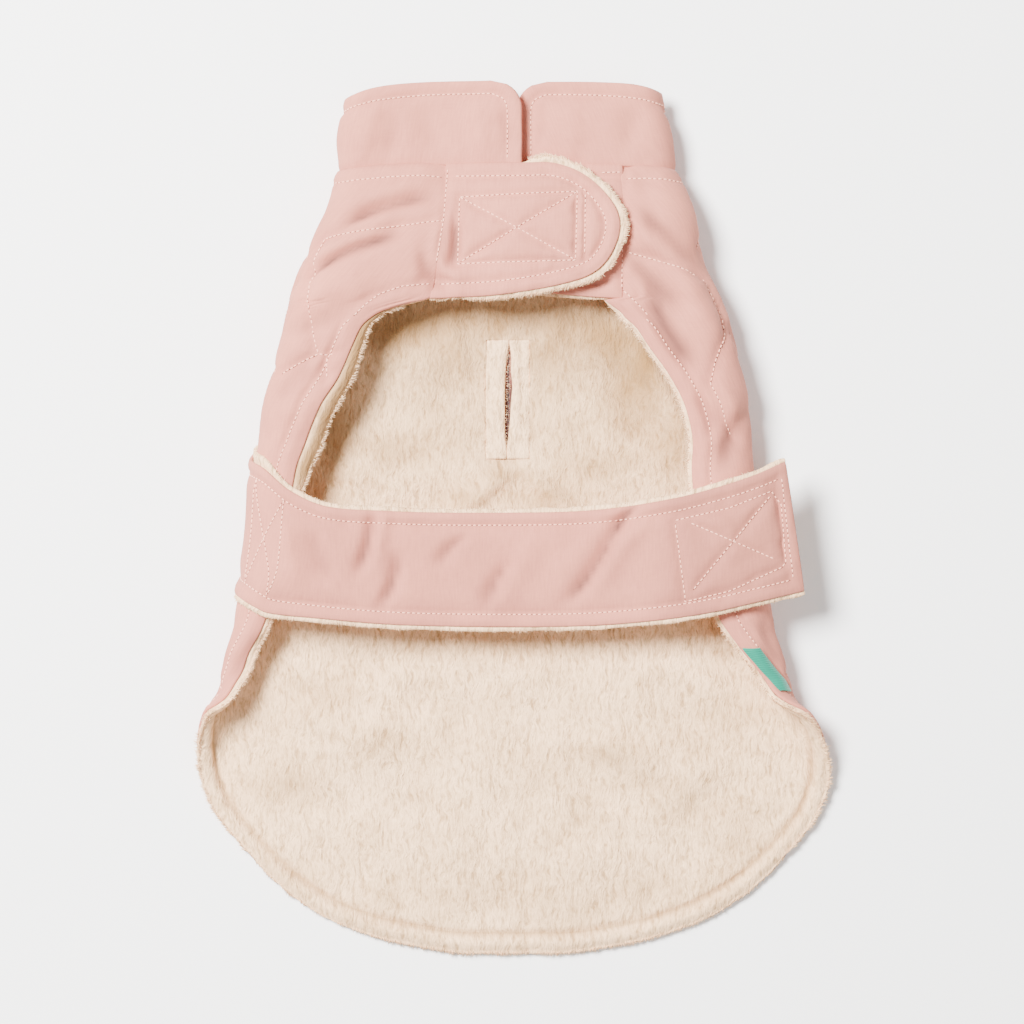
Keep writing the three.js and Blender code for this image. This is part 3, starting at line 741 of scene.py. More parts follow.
def plush_cloth(name, light, shade):
    """Short-pile polyester plush: soft fibres laid towards the tail, in small locks with darker partings, and
    painted shade from the pile map towards the roots' colour.
    """
    material, tree, shader = new_material(name, 0.95, 0.1, "#fff3e4", 0.6)
    uv = add_node(tree, "ShaderNodeUVMap", uv_map="cloth").outputs["UV"]
    # painted shade from the first value of the pile map, which darkens the plush towards the roots' colour
    painted_pile_shade_factor = add_node(tree, "ShaderNodeUVMap", uv_map="pile").outputs["UV"]
    painted_pile_shade_factor = add_node(tree, "ShaderNodeSeparateXYZ", links={"Vector": painted_pile_shade_factor}).outputs["X"]
    bend = add_node(tree, "ShaderNodeTexNoise", {"Scale": 90.0, "Detail": 2.0}, {"Vector": uv})
    swept = add_node(tree, "ShaderNodeMix", {"Factor": 0.006}, {"A": uv, "B": bend.outputs["Color"]},
                     data_type="VECTOR")
    laid = add_node(tree, "ShaderNodeMapping", {"Scale": (1.0, 0.24, 1.0)},
                    {"Vector": swept.outputs["Result"]})
    laid = laid.outputs["Vector"]
    fibres = add_node(tree, "ShaderNodeTexNoise", {"Scale": 1 / (0.9 * MM), "Detail": 2.0, "Roughness": 0.65},
                      {"Vector": laid}).outputs["Fac"]
    locks = add_node(tree, "ShaderNodeTexNoise", {"Scale": 1 / (1.9 * MM), "Detail": 3.0, "Roughness": 0.65},
                     {"Vector": laid}).outputs["Fac"]
    patches = add_node(tree, "ShaderNodeTexNoise", {"Scale": 40.0, "Detail": 4.0},
                       {"Vector": uv}).outputs["Fac"]
    parting = add_node(tree, "ShaderNodeMapRange", {"From Min": 0.3, "From Max": 0.52, "To Min": 0.35},
                       {"Value": locks})
    fine = add_node(tree, "ShaderNodeMapRange", {"From Min": 0.3, "From Max": 0.62, "To Min": 0.66},
                    {"Value": fibres})
    broad = add_node(tree, "ShaderNodeMapRange", {"From Min": 0.32, "From Max": 0.56, "To Min": 0.82},
                     {"Value": patches})
    tone = add_node(tree, "ShaderNodeMath", {0: 1.0}, {1: painted_pile_shade_factor}, operation="SUBTRACT")
    for source in (parting, fine, broad):
        tone = add_node(tree, "ShaderNodeMath", links={0: tone.outputs[0], 1: source.outputs[0]},
                        operation="MULTIPLY")
    tint = add_node(tree, "ShaderNodeMix", {"A": linear(shade), "B": linear(light)},
                    {"Factor": tone.outputs[0]},
                    data_type="RGBA")
    tree.links.new(tint.outputs["Result"], shader.inputs["Base Color"])
    lock_bump = add_node(tree, "ShaderNodeBump", {"Strength": 0.9, "Distance": 1.3 * MM}, {"Height": locks})
    fibre_bump = add_node(tree, "ShaderNodeBump", {"Strength": 0.7, "Distance": 0.5 * MM},
                          {"Height": fibres, "Normal": lock_bump.outputs["Normal"]})
    tree.links.new(fibre_bump.outputs["Normal"], shader.inputs["Normal"])
    return material


def ribbed_ribbon(name, light, shade):
    """Blank polyester ribbon: satin, with fine cross ribs about 1 mm apart."""
    material, tree, shader = new_material(name, 0.42, 0.2)
    uv = add_node(tree, "ShaderNodeUVMap", uv_map="cloth").outputs["UV"]
    ribs = add_node(tree, "ShaderNodeTexWave", {"Scale": math.tau / 20 / (1.0 * MM), "Distortion": 0.4},
                    {"Vector": uv}, wave_type="BANDS", bands_direction="Y")
    tint = add_node(tree, "ShaderNodeMix", {"A": linear(shade), "B": linear(light)},
                    {"Factor": ribs.outputs["Fac"]},
                    data_type="RGBA")
    tree.links.new(tint.outputs["Result"], shader.inputs["Base Color"])
    bump = add_node(tree, "ShaderNodeBump", {"Strength": 0.5, "Distance": 0.15 * MM},
                    {"Height": ribs.outputs["Fac"]})
    tree.links.new(bump.outputs["Normal"], shader.inputs["Normal"])
    return material


def hook_tape(name, light, shade):
    """Nylon hook tape: rows of stiff hooks about 1.4 mm apart on a woven ground."""
    material, tree, shader = new_material(name, 0.6, 0.1)
    uv = add_node(tree, "ShaderNodeUVMap", uv_map="cloth").outputs["UV"]
    hooks = add_node(tree, "ShaderNodeTexVoronoi", {"Scale": 1 / (1.4 * MM), "Randomness": 0.3},
                     {"Vector": uv})
    tint = add_node(tree, "ShaderNodeMix", {"A": linear(light), "B": linear(shade)},
                    {"Factor": hooks.outputs["Distance"]}, data_type="RGBA")
    tree.links.new(tint.outputs["Result"], shader.inputs["Base Color"])
    bump = add_node(tree, "ShaderNodeBump", {"Strength": 0.8, "Distance": 0.5 * MM},
                    {"Height": hooks.outputs["Distance"]})
    bump.invert = True
    tree.links.new(bump.outputs["Normal"], shader.inputs["Normal"])
    return material


def spun_fibre(name, dark, light, roughness=0.7):
    """Loose or sewn fibre in two close tones."""
    material, tree, shader = new_material(name, roughness, 0.1)
    place = add_node(tree, "ShaderNodeTexCoord").outputs["Object"]
    twist = add_node(tree, "ShaderNodeTexNoise", {"Scale": 700.0, "Detail": 1.0}, {"Vector": place})
    tint = add_node(tree, "ShaderNodeMix", {"A": linear(dark), "B": linear(light)},
                    {"Factor": twist.outputs["Fac"]}, data_type="RGBA")
    tree.links.new(tint.outputs["Result"], shader.inputs["Base Color"])
    return material


def look(key):
    """The material for one of the coat's cloths, made the first time that it is asked for."""
    found = bpy.data.materials.get(key)
    if found:
        return found
    c = bpy.context.scene.coat_colours
    if key == "Plain-weave quilted polyester":
        return woven_cloth(key, c.cloth_light, c.cloth_shade, c.cloth_painted_shade)
    if key == "Short-pile plush":
        return plush_cloth(key, c.plush_light, c.plush_roots_and_painted_shade)
    if key == "Loose plush fibre":
        return spun_fibre(key, c.fibre_shade, c.plush_light, 0.9)
    if key == "Tonal sewing thread":
        return spun_fibre(key, c.thread, c.thread)
    # needle holes are dark beads: painted shadow
    if key == "Needle hole in the cloth":
        return spun_fibre(key, c.needle_hole_shadow, c.needle_hole_shadow, 0.9)
    if key == "Blank satin ribbon":
        return ribbed_ribbon(key, c.ribbon_light, c.ribbon_shade)
    if key == "Nylon hook tape":
        return hook_tape(key, c.tape_light, c.tape_shade)
    raise ValueError("no such cloth: " + key)


def repeat_tree(kind):
    """Sets one small shape, a rounded stitch or a tapered fibre, on every point, along its aim."""
    tree = bpy.data.node_groups.new(kind, "GeometryNodeTree")
    tree.interface.new_socket("Geometry", in_out="INPUT", socket_type="NodeSocketGeometry")
    tree.interface.new_socket("Width", in_out="INPUT", socket_type="NodeSocketFloat")
    tree.interface.new_socket("Material", in_out="INPUT", socket_type="NodeSocketMaterial")
    tree.interface.new_socket("Geometry", in_out="OUTPUT", socket_type="NodeSocketGeometry")
    given = add_node(tree, "NodeGroupInput").outputs
    if kind == "Stitch":
        shape = add_node(tree, "GeometryNodeMeshUVSphere", {"Segments": 5, "Rings": 4, "Radius": 0.5})
    else:
        shape = add_node(tree, "GeometryNodeMeshCone",
                         {"Vertices": 3, "Radius Top": 0.12, "Radius Bottom": 0.5, "Depth": 1.0})
    named = {}
    for label, data_type in (("aim", "FLOAT_VECTOR"), ("reach", "FLOAT")):
        node = add_node(tree, "GeometryNodeInputNamedAttribute", {"Name": label}, data_type=data_type)
        named[label] = next(s for s in node.outputs if s.enabled and s.name == "Attribute")
    turn = add_node(tree, "FunctionNodeAlignRotationToVector", links={"Vector": named["aim"]}, axis="Z")
    size = add_node(tree, "ShaderNodeCombineXYZ",
                    links={"X": given["Width"], "Y": given["Width"], "Z": named["reach"]})
    placed = add_node(tree, "GeometryNodeInstanceOnPoints",
                      links={"Points": given["Geometry"], "Instance": shape.outputs["Mesh"],
                             "Rotation": turn.outputs["Rotation"], "Scale": size.outputs[0]})
    real = add_node(tree, "GeometryNodeRealizeInstances", links={"Geometry": placed.outputs["Instances"]})
    dressed = add_node(tree, "GeometryNodeSetMaterial",
                       links={"Geometry": real.outputs["Geometry"], "Material": given["Material"]})
    add_node(tree, "NodeGroupOutput", links={"Geometry": dressed.outputs["Geometry"]})
    return tree


def repeated(name, kind, points, aims, reaches, width, material):
    """One plain mesh of a small shape on every point, in millimetres."""
    mesh = bpy.data.meshes.new(name)
    mesh.from_pydata(((np.asarray(points) + CENTRE) * MM).tolist(), [], [])
    aim = mesh.attributes.new("aim", "FLOAT_VECTOR", "POINT")
    aim.data.foreach_set("vector", np.asarray(aims, dtype=np.float32).ravel())
    reach = mesh.attributes.new("reach", "FLOAT", "POINT")
    reach.data.foreach_set("value", (np.asarray(reaches) * MM).astype(np.float32))
    made = bpy.data.objects.new(name, mesh)
    bpy.context.scene.collection.objects.link(made)
    tree = bpy.data.node_groups.get(kind) or repeat_tree(kind)
    repeat = made.modifiers.new("repeat", "NODES")
    repeat.node_group = tree
    for item in tree.interface.items_tree:
        if item.in_out == "INPUT" and item.name == "Width":
            repeat[item.identifier] = width * MM
        if item.in_out == "INPUT" and item.name == "Material":
            repeat[item.identifier] = material
    shape = bpy.data.meshes.new_from_object(made.evaluated_get(bpy.context.evaluated_depsgraph_get()))
    made.modifiers.clear()
    made.data = shape
    if not shape.polygons:
        raise RuntimeError(name + " came out empty")
    shape.polygons.foreach_set("use_smooth", np.ones(len(shape.polygons), dtype=bool))
    shape.update()
    return made


def sew(name, lines, piece):
    """Stitches with painted needle-hole shadows between them, laid on a piece's face along lines of points.
    """
    mesh = piece.data
    face = BVHTree.FromPolygons([v.co for v in mesh.vertices], [p.vertices for p in mesh.polygons])
    rng = np.random.default_rng(SEED)
    pitch = round(bpy.context.scene.coat_sizes.stitch_pitch / MM, 3)
    spots = []
    for points, out in lines:
        points = np.asarray(points, dtype=float)
        run = run_along(points)
        at = np.arange(0, run[-1], pitch / 2)
        line = np.stack([np.interp(at, run, points[:, k]) for k in range(3)], axis=1)
        outs = np.stack([np.interp(at, run, np.asarray(out)[:, k]) for k in range(3)], axis=1)
        laid = []
        for p, n in zip(line, outs):
            hit = face.ray_cast(Vector((p + n * 8 + CENTRE) * MM), Vector(-n).normalized(), 0.07)[0]
            laid.append(None if hit is None else np.array(hit) / MM - CENTRE)
        for k in range(1, len(laid) - 1):
            if laid[k - 1] is not None and laid[k] is not None and laid[k + 1] is not None:
                spots.append((laid[k], laid[k + 1] - laid[k - 1], outs[k], k % 2))
    # every other spot gets a small sunken dark bead: painted shadow in the needle hole
    thread = [s for s in spots if s[3]]
    holes = [s for s in spots if not s[3]]
    parts = []
    for label, chosen, length, width, lift, key in (
        ("thread", thread, 1.9, 0.74, 0.1, "Tonal sewing thread"),
        ("needle_hole_shadows", holes, 0.85, 0.8, -0.2, "Needle hole in the cloth"),
    ):
        where = [p + n * lift for p, _, n, _ in chosen]
        reach = length * rng.uniform(0.9, 1.12, len(chosen))
        made = repeated(name + "_" + label, "Stitch", where, [t for _, t, _, _ in chosen], reach, width,
                        look(key))
        parts.append(finish_piece(made, []))
    return parts


def fringe(name, rims, density, length, lift=0.35, width=0.42):
    """Loose plush fibres that lean out over rims, each given as points, ways out and ways up."""
    rng = np.random.default_rng(SEED + 1)
    where, aims, reaches = [], [], []
    for points, away, up in rims:
        run = run_along(points)
        count = int(run[-1] * density)
        at = rng.uniform(0, run[-1], count)
        pick = lambda a: np.stack([np.interp(at, run, a[:, k]) for k in range(3)], axis=1)  # noqa: E731
        p, a, u = pick(points), pick(away), pick(up)
        side = np.cross(a, u)
        knots = np.arange(0, run[-1] + 3, 3.0)
        tuft = np.interp(at, knots, rng.uniform(-0.7, 0.7, len(knots)))
        longer = np.interp(at, knots, rng.uniform(0.75, 1.25, len(knots)))
        lean = side * (tuft + rng.normal(0, 0.35, count))[:, None]
        where.append(p + a * rng.uniform(-0.9, 0.5, (count, 1)) - u * rng.uniform(0.0, 1.8, (count, 1)))
        aims.append(a + lean + u * rng.normal(lift, 0.45, (count, 1)))
        reaches.append(length * longer * rng.uniform(0.55, 1.25, count))
    made = repeated(name, "Fibre", np.concatenate(where), np.concatenate(aims), np.concatenate(reaches),
                    width,
                    look("Loose plush fibre"))
    return finish_piece(made, [])


# ---------- stitches ----------
def fine_line(line, step=2.0):
    """A line of plan points with more points between them."""
    line = np.asarray(line, dtype=float)
    pieces = []
    for a, b in zip(line[:-1], line[1:]):
        n = max(1, int(np.linalg.norm(b - a) / step))
        pieces.append(a + (b - a) * np.linspace(0, 1, n, endpoint=False)[:, None])
    pieces.append(line[-1:])
    return np.concatenate(pieces)


# ---------- body ----------
def body_base(s, y):
    """The body's outer face with the large soft folds, shared by the outer cloth and the lining."""
    p = body_surface(s, y)
    left, right = (side_section(rows, y)[3] for rows in (BODY_LEFT, BODY_RIGHT))
    inside = ease(0, 16, np.where(s < 0, left + s, right - s))
    drift = (1.1 * wander(s, y, 30, 3) + 0.4 * wander(s, y, 14, 4)) * ease(0, 16, p[..., 2]) * inside
    soft = folds_at(FRONT_FOLDS, p[..., 0], p[..., 1]) * ease(14, 24, p[..., 2])
    return p, (soft + drift) * ease(176, 166, p[..., 1])


def body_lines():
    """The quilting of the whole outer cloth as lines of cloth length and station."""
    lines = [[(cloth_length(x, y), y) for x, y in fine_line(line, 6)] for line in FRONT_QUILTING]
    width, height = HEX_SIDE * math.sqrt(3), HEX_SIDE * 1.5
    for row in range(-4, 4):
        base = 150 - HEX_SIDE / 2 + (row - 1) * height
        for k in range(-3, 4):
            s = k * width + (width / 2 if row % 2 else 0)
            low, high = base - HEX_SIDE, base
            lines.append([(s, low), (s, high)])
            lines.append([(s, high), (s + width / 2, high + HEX_SIDE / 2)])
            lines.append([(s, high), (s - width / 2, high + HEX_SIDE / 2)])
    kept = []
    for k, line in enumerate(lines):
        if k < len(FRONT_QUILTING):
            kept.append(np.array(line))
            continue
        fine = fine_line(line, 4)
        good = np.array([on_back(s, y) for s, y in fine])
        runs = np.split(fine, np.where(np.diff(good.astype(int)) != 0)[0] + 1)
        marks = np.split(good, np.where(np.diff(good.astype(int)) != 0)[0] + 1)
        kept.extend(run for run, mark in zip(runs, marks) if mark[0] and len(run) > 2)
    return kept


def on_back(s, y):
    """Whether a point of the cloth is on the back, 10 mm in from its edges and off the fronts."""
    if not -208 < y < 172:
        return False
    start, r, wrap, end = (float(v) for v in side_section(BODY_LEFT if s < 0 else BODY_RIGHT, y))
    hem = float(column_at(HEM, "x", "y", s))
    limit = min(start + r * min(wrap, math.radians(112)), end - 10)
    return abs(s) < limit and y > hem + 10


def body_rows(ys, count):
    """Cloth lengths and stations of a grid over the body, fine at the cut edges and bent into the hem."""
    fine = np.arange(0, 14.5, 1.2)
    grid_s, grid_y = [], []
    for side_y in ys:
        left, right = (float(side_section(rows, side_y)[3]) for rows in (BODY_LEFT, BODY_RIGHT))
        middle = np.linspace(fine[-1] - left, right - fine[-1], count + 1)[1:-1]
        s = np.concatenate([fine - left, middle, right - fine[::-1]])
        s += float(column_at(ARCH_CORNER, "y", "more", side_y)) * ease(right - 27, right, s)
        share = max((HEM_TURN_Y - side_y) / (HEM_TURN_Y - HEM_SIDE_Y), 0)
        x = HEM["x"][0] + (HEM["x"][-1] - HEM["x"][0]) * (s - s[0]) / (s[-1] - s[0])
        dip = column_at(HEM, "x", "y", x) - HEM_SIDE_Y
        grid_s.append(s)
        grid_y.append(side_y + share * dip)
    return np.array(grid_s), np.array(grid_y)


def station_list(step):
    """Stations from neck to hem, closer at the arch's corners and in the hem."""
    upper = np.arange(NECK_Y, 112, -step)
    corner = np.arange(110.5, 97, -1.4)
    lower = np.arange(96, -160, -step)
    return np.concatenate([upper, corner, lower, np.linspace(-160, HEM_SIDE_Y, 16)])


def free_edge(points, first_row):
    """The cut edge below the tabs: down one side, along the hem and up the other."""
    return np.concatenate([points[first_row:, 0], points[-1], points[first_row:, -1]])


def build_body_shell():
    s, y = body_rows(station_list(2.2), 138)
    base, soft = body_base(s, y)
    normal = surface_normals(base, (0, 0, 1))
    free = base[..., 1] < JOIN_LOW_Y + 1
    first = int(np.argmax(free[:, 0]))
    edge = to_edge(base, free_edge(base, first).tolist())
    lines = body_lines()
    d = to_lines(s, y, lines)
    down = ease(-0.35, 0.35, normal[..., 2])
    join = np.minimum(s - s[:, :1], s[:, -1:] - s) + 30 * ease(JOIN_LOW_Y, JOIN_LOW_Y - 8, y)
    seam = -0.9 * dent(to_lines(base[..., 0], base[..., 1], TAB_SEAMS) + 99 * (base[..., 2] < 20), 2.0)
    swell = 2.5 * (1 - np.exp(-d / 12)) * np.minimum(1, edge / 9) * ease(0, 12, join)
    groove = -1.5 * dent(d, 2.3) + seam
    hem = -1.15 * dent(edge - HEM_INSET, 1.9) + 0.5 * dent(edge - 4, 3)
    pucker = 0.5 * wander(s, y, 4.6, 11) * dent(edge - HEM_INSET, 4.5)
    pucker += 0.42 * wander(s, y, 5, 12) * dent(d, 5.5)
    below = NECK_Y - y
    neck = -1.3 * dent(below, 2.2) - 0.9 * dent(below - 6.5, 1.8)
    neck += 0.4 * wander(s, y, 5, 5) * dent(below - 5, 5)
    raised = soft + (swell + pucker + neck) * (1 - down) + groove + hem * (1 - 0.6 * down)
    raised = raised * (1 - down) + np.clip(raised, -0.9, 0) * down
    inner = CLOTH_WALL - soft * (1 - down)
    uv = np.stack([s, y], axis=-1)
    # painted shade in the fronts' creases, on the outer face
    painted_outer_shade = painted_crease_shade(FRONT_FOLDS, base[..., 0], base[..., 1]) * ease(14, 24, base[..., 2])
    # painted shade on the inner face round the leash slit, seen through it, deeper over its lower part
    painted_slit_shade = ease(4.5, 3.5, np.abs(s - SLIT["x"])) * ease(30, 27, np.abs(y - SLIT["y"]))
    piece = wall_object("body_outer_cloth", base, normal, -raised, np.maximum(inner, 0.6 - raised), uv,
                        look("Plain-weave quilted polyester"), 0.7,
                        shade=(painted_outer_shade, painted_slit_shade * (0.6 + 0.35 * ease(74, 62, y))))
    cut_through(piece, (SLIT["x"] - 0.2, SLIT["y"] - SLIT["length"] / 2, -5),
                (SLIT["x"] + 0.6, SLIT["y"] + SLIT["length"] / 2, 3))
    area = float(np.sum(np.abs(np.diff(s, axis=1)[:-1] * np.diff(y, axis=0)[:, :-1]))) * MM * MM
    return piece, lines, area


def on_face(surface, s, up, e=0.4):
    """Points of an outer face with their outward directions, felt out over steps of e."""
    du = surface(s + e, up) - surface(s - e, up)
    dv = surface(s, up + e) - surface(s, up - e)
    return surface(s, up), unit(np.cross(dv, du))


def on_body(line):
    """A line of cloth lengths and stations, laid on the body's outer face."""
    return on_face(body_surface, *fine_line(line, 3).T)


def from_above(line):
    """A line of plan points, high enough over the coat to be laid down on a piece."""
    fine = fine_line(line, 3)
    return np.column_stack([fine, np.full(len(fine), 45.0)]), np.tile([0.0, 0.0, 1.0], (len(fine), 1))


def build_body_stitches(piece, lines):
    quilting = [on_body(line) for line in lines]
    sew("body_quilting", quilting, piece)
    hems = []
    for rows, sign in ((BODY_LEFT, -1), (BODY_RIGHT, 1)):
        ys = np.arange(98, -171, -2.5)
        edge = side_section(rows, ys)[3] + (0 if sign < 0 else column_at(ARCH_CORNER, "y", "more", ys))
        hems.append(on_body(np.column_stack([sign * (edge - HEM_INSET), ys])))
        neck_s = np.linspace(2, float(side_section(rows, 169.5)[3]), 60)
        hems.append(on_body(np.column_stack([sign * neck_s, np.full(60, 169.5)])))
    hems.append(from_above([(-41, 115.6), (-55, 114.2), (-66, 110.5), (-74, 104.5), (-80, 98.5)]))
    hems.append(from_above([(44, 118), (51, 115.5), (57, 110.5), (63, 104.5), (68, 99)]))
    x = np.linspace(HEM["x"][0] + 7, HEM["x"][-1] - 7, 120)
    hems.append((np.column_stack([x, column_at(HEM, "x", "y", x) + HEM_INSET, np.full(120, -6.0)]),
                 np.tile([0.0, 0.0, -1.0], (120, 1))))
    sew("body_topstitch", hems, piece)


def build_tab_stitches():
    plan = tab_plan(BODY_LEFT, LEFT_TAB, 70, 50)
    rim = np.concatenate([plan[0, 1:], plan[1:-1, -1], plan[-1, ::-1]])
    inset = []
    for k in range(len(rim)):
        a, b = rim[max(k - 2, 0)], rim[min(k + 2, len(rim) - 1)]
        t = unit(b - a)
        inset.append(rim[k] + RIM_INSET * np.array([t[1], -t[0]]))
    lines = [from_above(np.array(inset)[3:-3])] + [from_above(line) for line in (*TAB_BOX_LINES,
                                                                                 TAB_SEAMS[0])]
    sew("chest_tab_sewing", lines, bpy.data.objects["left_tab_outer_cloth"])
    side = [from_above([(44, 171.5), (58, 171.8)]), from_above(TAB_SEAMS[1])]
    sew("right_tab_sewing", side, bpy.data.objects["right_tab_outer_cloth"])


def build_body_lining():
    s, y = body_rows(station_list(2.3), 132)
    base, soft = body_base(s, y)
    normal = surface_normals(base, (0, 0, 1))
    free = ease(JOIN_LOW_Y, JOIN_LOW_Y - 7, base[..., 1])
    share = np.array([0.12, 0.28, 0.46, 0.64, 0.82, 0.94, 1.0])
    sides = []
    for column, neighbour, rows in ((0, 2, BODY_LEFT), (-1, -3, BODY_RIGHT)):
        away = unit(base[:, column] - base[:, neighbour])
        lip = column_at(rows, "y", "lip", y[:, column])
        reach = 0.02 + lip * free[:, column]
        grid = base[:, column, None] + away[:, None] * reach[:, None, None] * share[:, None]
        curl = normal[:, column, None] * (reach[:, None] * 0.3 * share**2)[..., None]
        s_out = s[:, column, None] + (reach[:, None] * share) * (-1 if column == 0 else 1)
        puff = np.minimum(reach, 5)[:, None] * 0.3 * np.sin(np.pi * share) ** 0.7
        spread = lambda a: np.repeat(a[:, column, None], len(share), axis=1)  # noqa: E731
        sides.append([grid + curl, s_out, spread(y), spread(soft), spread(normal), puff])
    flip = [part[:, ::-1] for part in sides[0]]
    grid, s2, y2, soft2, normal2, puff = (
        np.concatenate([flip[k], (base, s, y, soft, normal, np.zeros_like(s))[k], sides[1][k]], axis=1)
        for k in range(6)
    )
    away = unit(grid[-1] - grid[-3])
    grid = np.concatenate([grid, np.stack([grid[-1] + away * 0.8, grid[-1] + away * 1.6])])
    tail = lambda a: np.concatenate([a, a[-1:], a[-1:]])  # noqa: E731
    s2, y2, soft2, normal2, puff = (tail(a) for a in (s2, y2, soft2, normal2, puff))
    y2[-2:] -= np.array([[0.8], [1.6]])
    first = int(np.argmax(free[:, 0] > 0.5))
    edge = to_edge(grid, free_edge(grid, first).tolist())
    up = ease(-0.2, 0.5, normal2[..., 2])
    x, yy = grid[..., 0], grid[..., 1]
    calm = ease(0, 14, edge)
    inside = folds_at(LINING_FOLDS, x, yy) + 1.3 * wander(x, yy, 34, 21) + 0.7 * wander(x, yy, 13, 22)
    border = 1.3 * dent(edge - 4, 3.4) - 2.3 * dent(edge - 9.2, 1.5)
    border += 0.6 * wander(x, yy, 5, 23) * dent(edge - 8, 4.5)
    centre = -0.6 * dent(x - 5.5 + 0.02 * (yy + 150), 1.6) * ease(-104, -118, yy)
    half_w, half_l = WELT["width"] / 2, WELT["length"] / 2
    rect = np.maximum(np.abs(x - SLIT["x"] - 0.5) - half_w, np.abs(yy - SLIT["y"]) - half_l)
    frame_groove = -0.7 * dent(rect - 0.8, 1.6)
    bar = -0.9 * dent(yy - 23, 1.6) * ease(13, 10, np.abs(x + 2))
    seam = -0.8 * dent(x + 3.5, 1.4) * ease(88, 92, yy) * ease(112, 106, yy)
    raised = (inside * calm + centre + frame_groove + bar + seam) * up + border * ease(0, 4, edge + 2)
    outer = LINING_DEPTH - soft2 * (1 - ease(-0.35, 0.35, normal2[..., 2])) - puff
    thin = ease(0, 5, edge) * 0.5 + 0.5
    inner = outer + puff + PLUSH_WALL * thin + raised
    uv = np.stack([s2, y2], axis=-1)
    # lean holds painted shade: the soft patches on faces that look up, the hem's topstitch groove and the rim
    # under the left front's edge
    lean = np.maximum(painted_pile_shade(x, yy) * up, 0.6 * dent(edge - 9.2, 1.3))
    lean = np.maximum(lean, 0.9 * ease(9, 3, edge) * ease(-50, -70, x) * ease(4, 24, yy))
    piece = wall_object("body_plush_lining", grid, normal2, outer, np.maximum(inner, outer + puff + 0.6), uv,
                        look("Short-pile plush"), 1.0, shade=lean)
    cut_through(piece, (SLIT["x"] - half_w, SLIT["y"] - half_l, 1.0),
                (SLIT["x"] + half_w, SLIT["y"] + half_l, 14))
    points, away, up, jj, _ = RIMS["body_plush_lining"]
    loose = (points[:, 1] < JOIN_LOW_Y - 3) & (jj > 0)
    order = np.flatnonzero(loose)
    fringe("body_edge_pile", [(points[order], away[order], up[order])], 8.0, 2.2)
    return piece


def build_welts():
    mouths = []
    for side, name in ((-1, "left"), (1, "right")):
        rows = np.linspace(-WELT["length"] / 2 + GAP, WELT["length"] / 2 - GAP, 60)
        cols = np.linspace(0, 1, 14)
        yy, f = np.meshgrid(rows, cols, indexing="ij")
        span = np.maximum(1 - np.abs((yy - 2) * 2 / SLIT["length"]) ** 2.4, 0)
        mouth = 0.3 + (1.7 + 0.5 * wander(yy, yy * 0, 9, 31 + side)) * span
        outer_x = WELT["width"] / 2 - 0.12
        x = side * (mouth + (outer_x - mouth) * f)
        z = np.full_like(x, LINING_DEPTH) + 0.2 * wander(x, yy, 8, 33)
        grid = np.stack([x + SLIT["x"] + 0.6 * np.sin(yy / 17), yy + SLIT["y"], z], axis=-1)
        grid[:, -1, 0] = SLIT["x"] + side * outer_x
        lip = 1.1 * dent((outer_x - mouth) * f - 2.4, 2.4) * (0.5 + 0.5 * span)
        thick = 2.3 + lip + 0.5 * wander(x, yy, 5, 35) - 0.5 * dent((1 - f) * outer_x, 1.2)
        normal = np.zeros_like(grid)
        normal[..., 2] = 1
        piece_name = "leash_slit_welt_" + name
        piece = wall_object(piece_name, grid, normal, 0.0, thick, grid[..., :2], look("Short-pile plush"),
                            0.35)
        finish_piece(piece, ["leash_welt_" + name])
        points, away, up, jj, ii = RIMS[piece_name]
        inner = np.flatnonzero(ii == 0)
        mouths.append((points[inner] + [0, 0, 2.4] - away[inner] * 0.7, away[inner], -up[inner]))
    fringe("leash_slit_pile", mouths, 2.2, 0.8, 0.9, 0.3)


# ---------- chest tabs ----------
def join_point(rows, y):
    """The body's front edge, where a tab is sewn on."""
    edge = side_section(rows, y)[3]
    return body_surface(-edge if rows is BODY_LEFT else edge, y)


def tab_height(rows, x, y):
    """Height of a tab's outer face."""
    z = join_point(rows, np.clip(y, JOIN_LOW_Y, NECK_Y))[..., 2]
    return z + overlap_lift(rows is BODY_LEFT, x)


def spline(points, count, before=None, after=None):
    """A curve through plan points; a neighbour before or after them sets its way at that end."""
    line = [before or points[0], *points, after or points[-1]]
    tangent = np.gradient(np.asarray(line, dtype=float), axis=0)[1:-1]
    points = np.asarray(points, dtype=float)
    t = np.linspace(0, len(points) - 1, count)
    i = np.clip(t.astype(int), 0, len(points) - 2)
    u = (t - i)[:, None]
    return hermite(u, points[i], points[i + 1], tangent[i], tangent[i + 1])


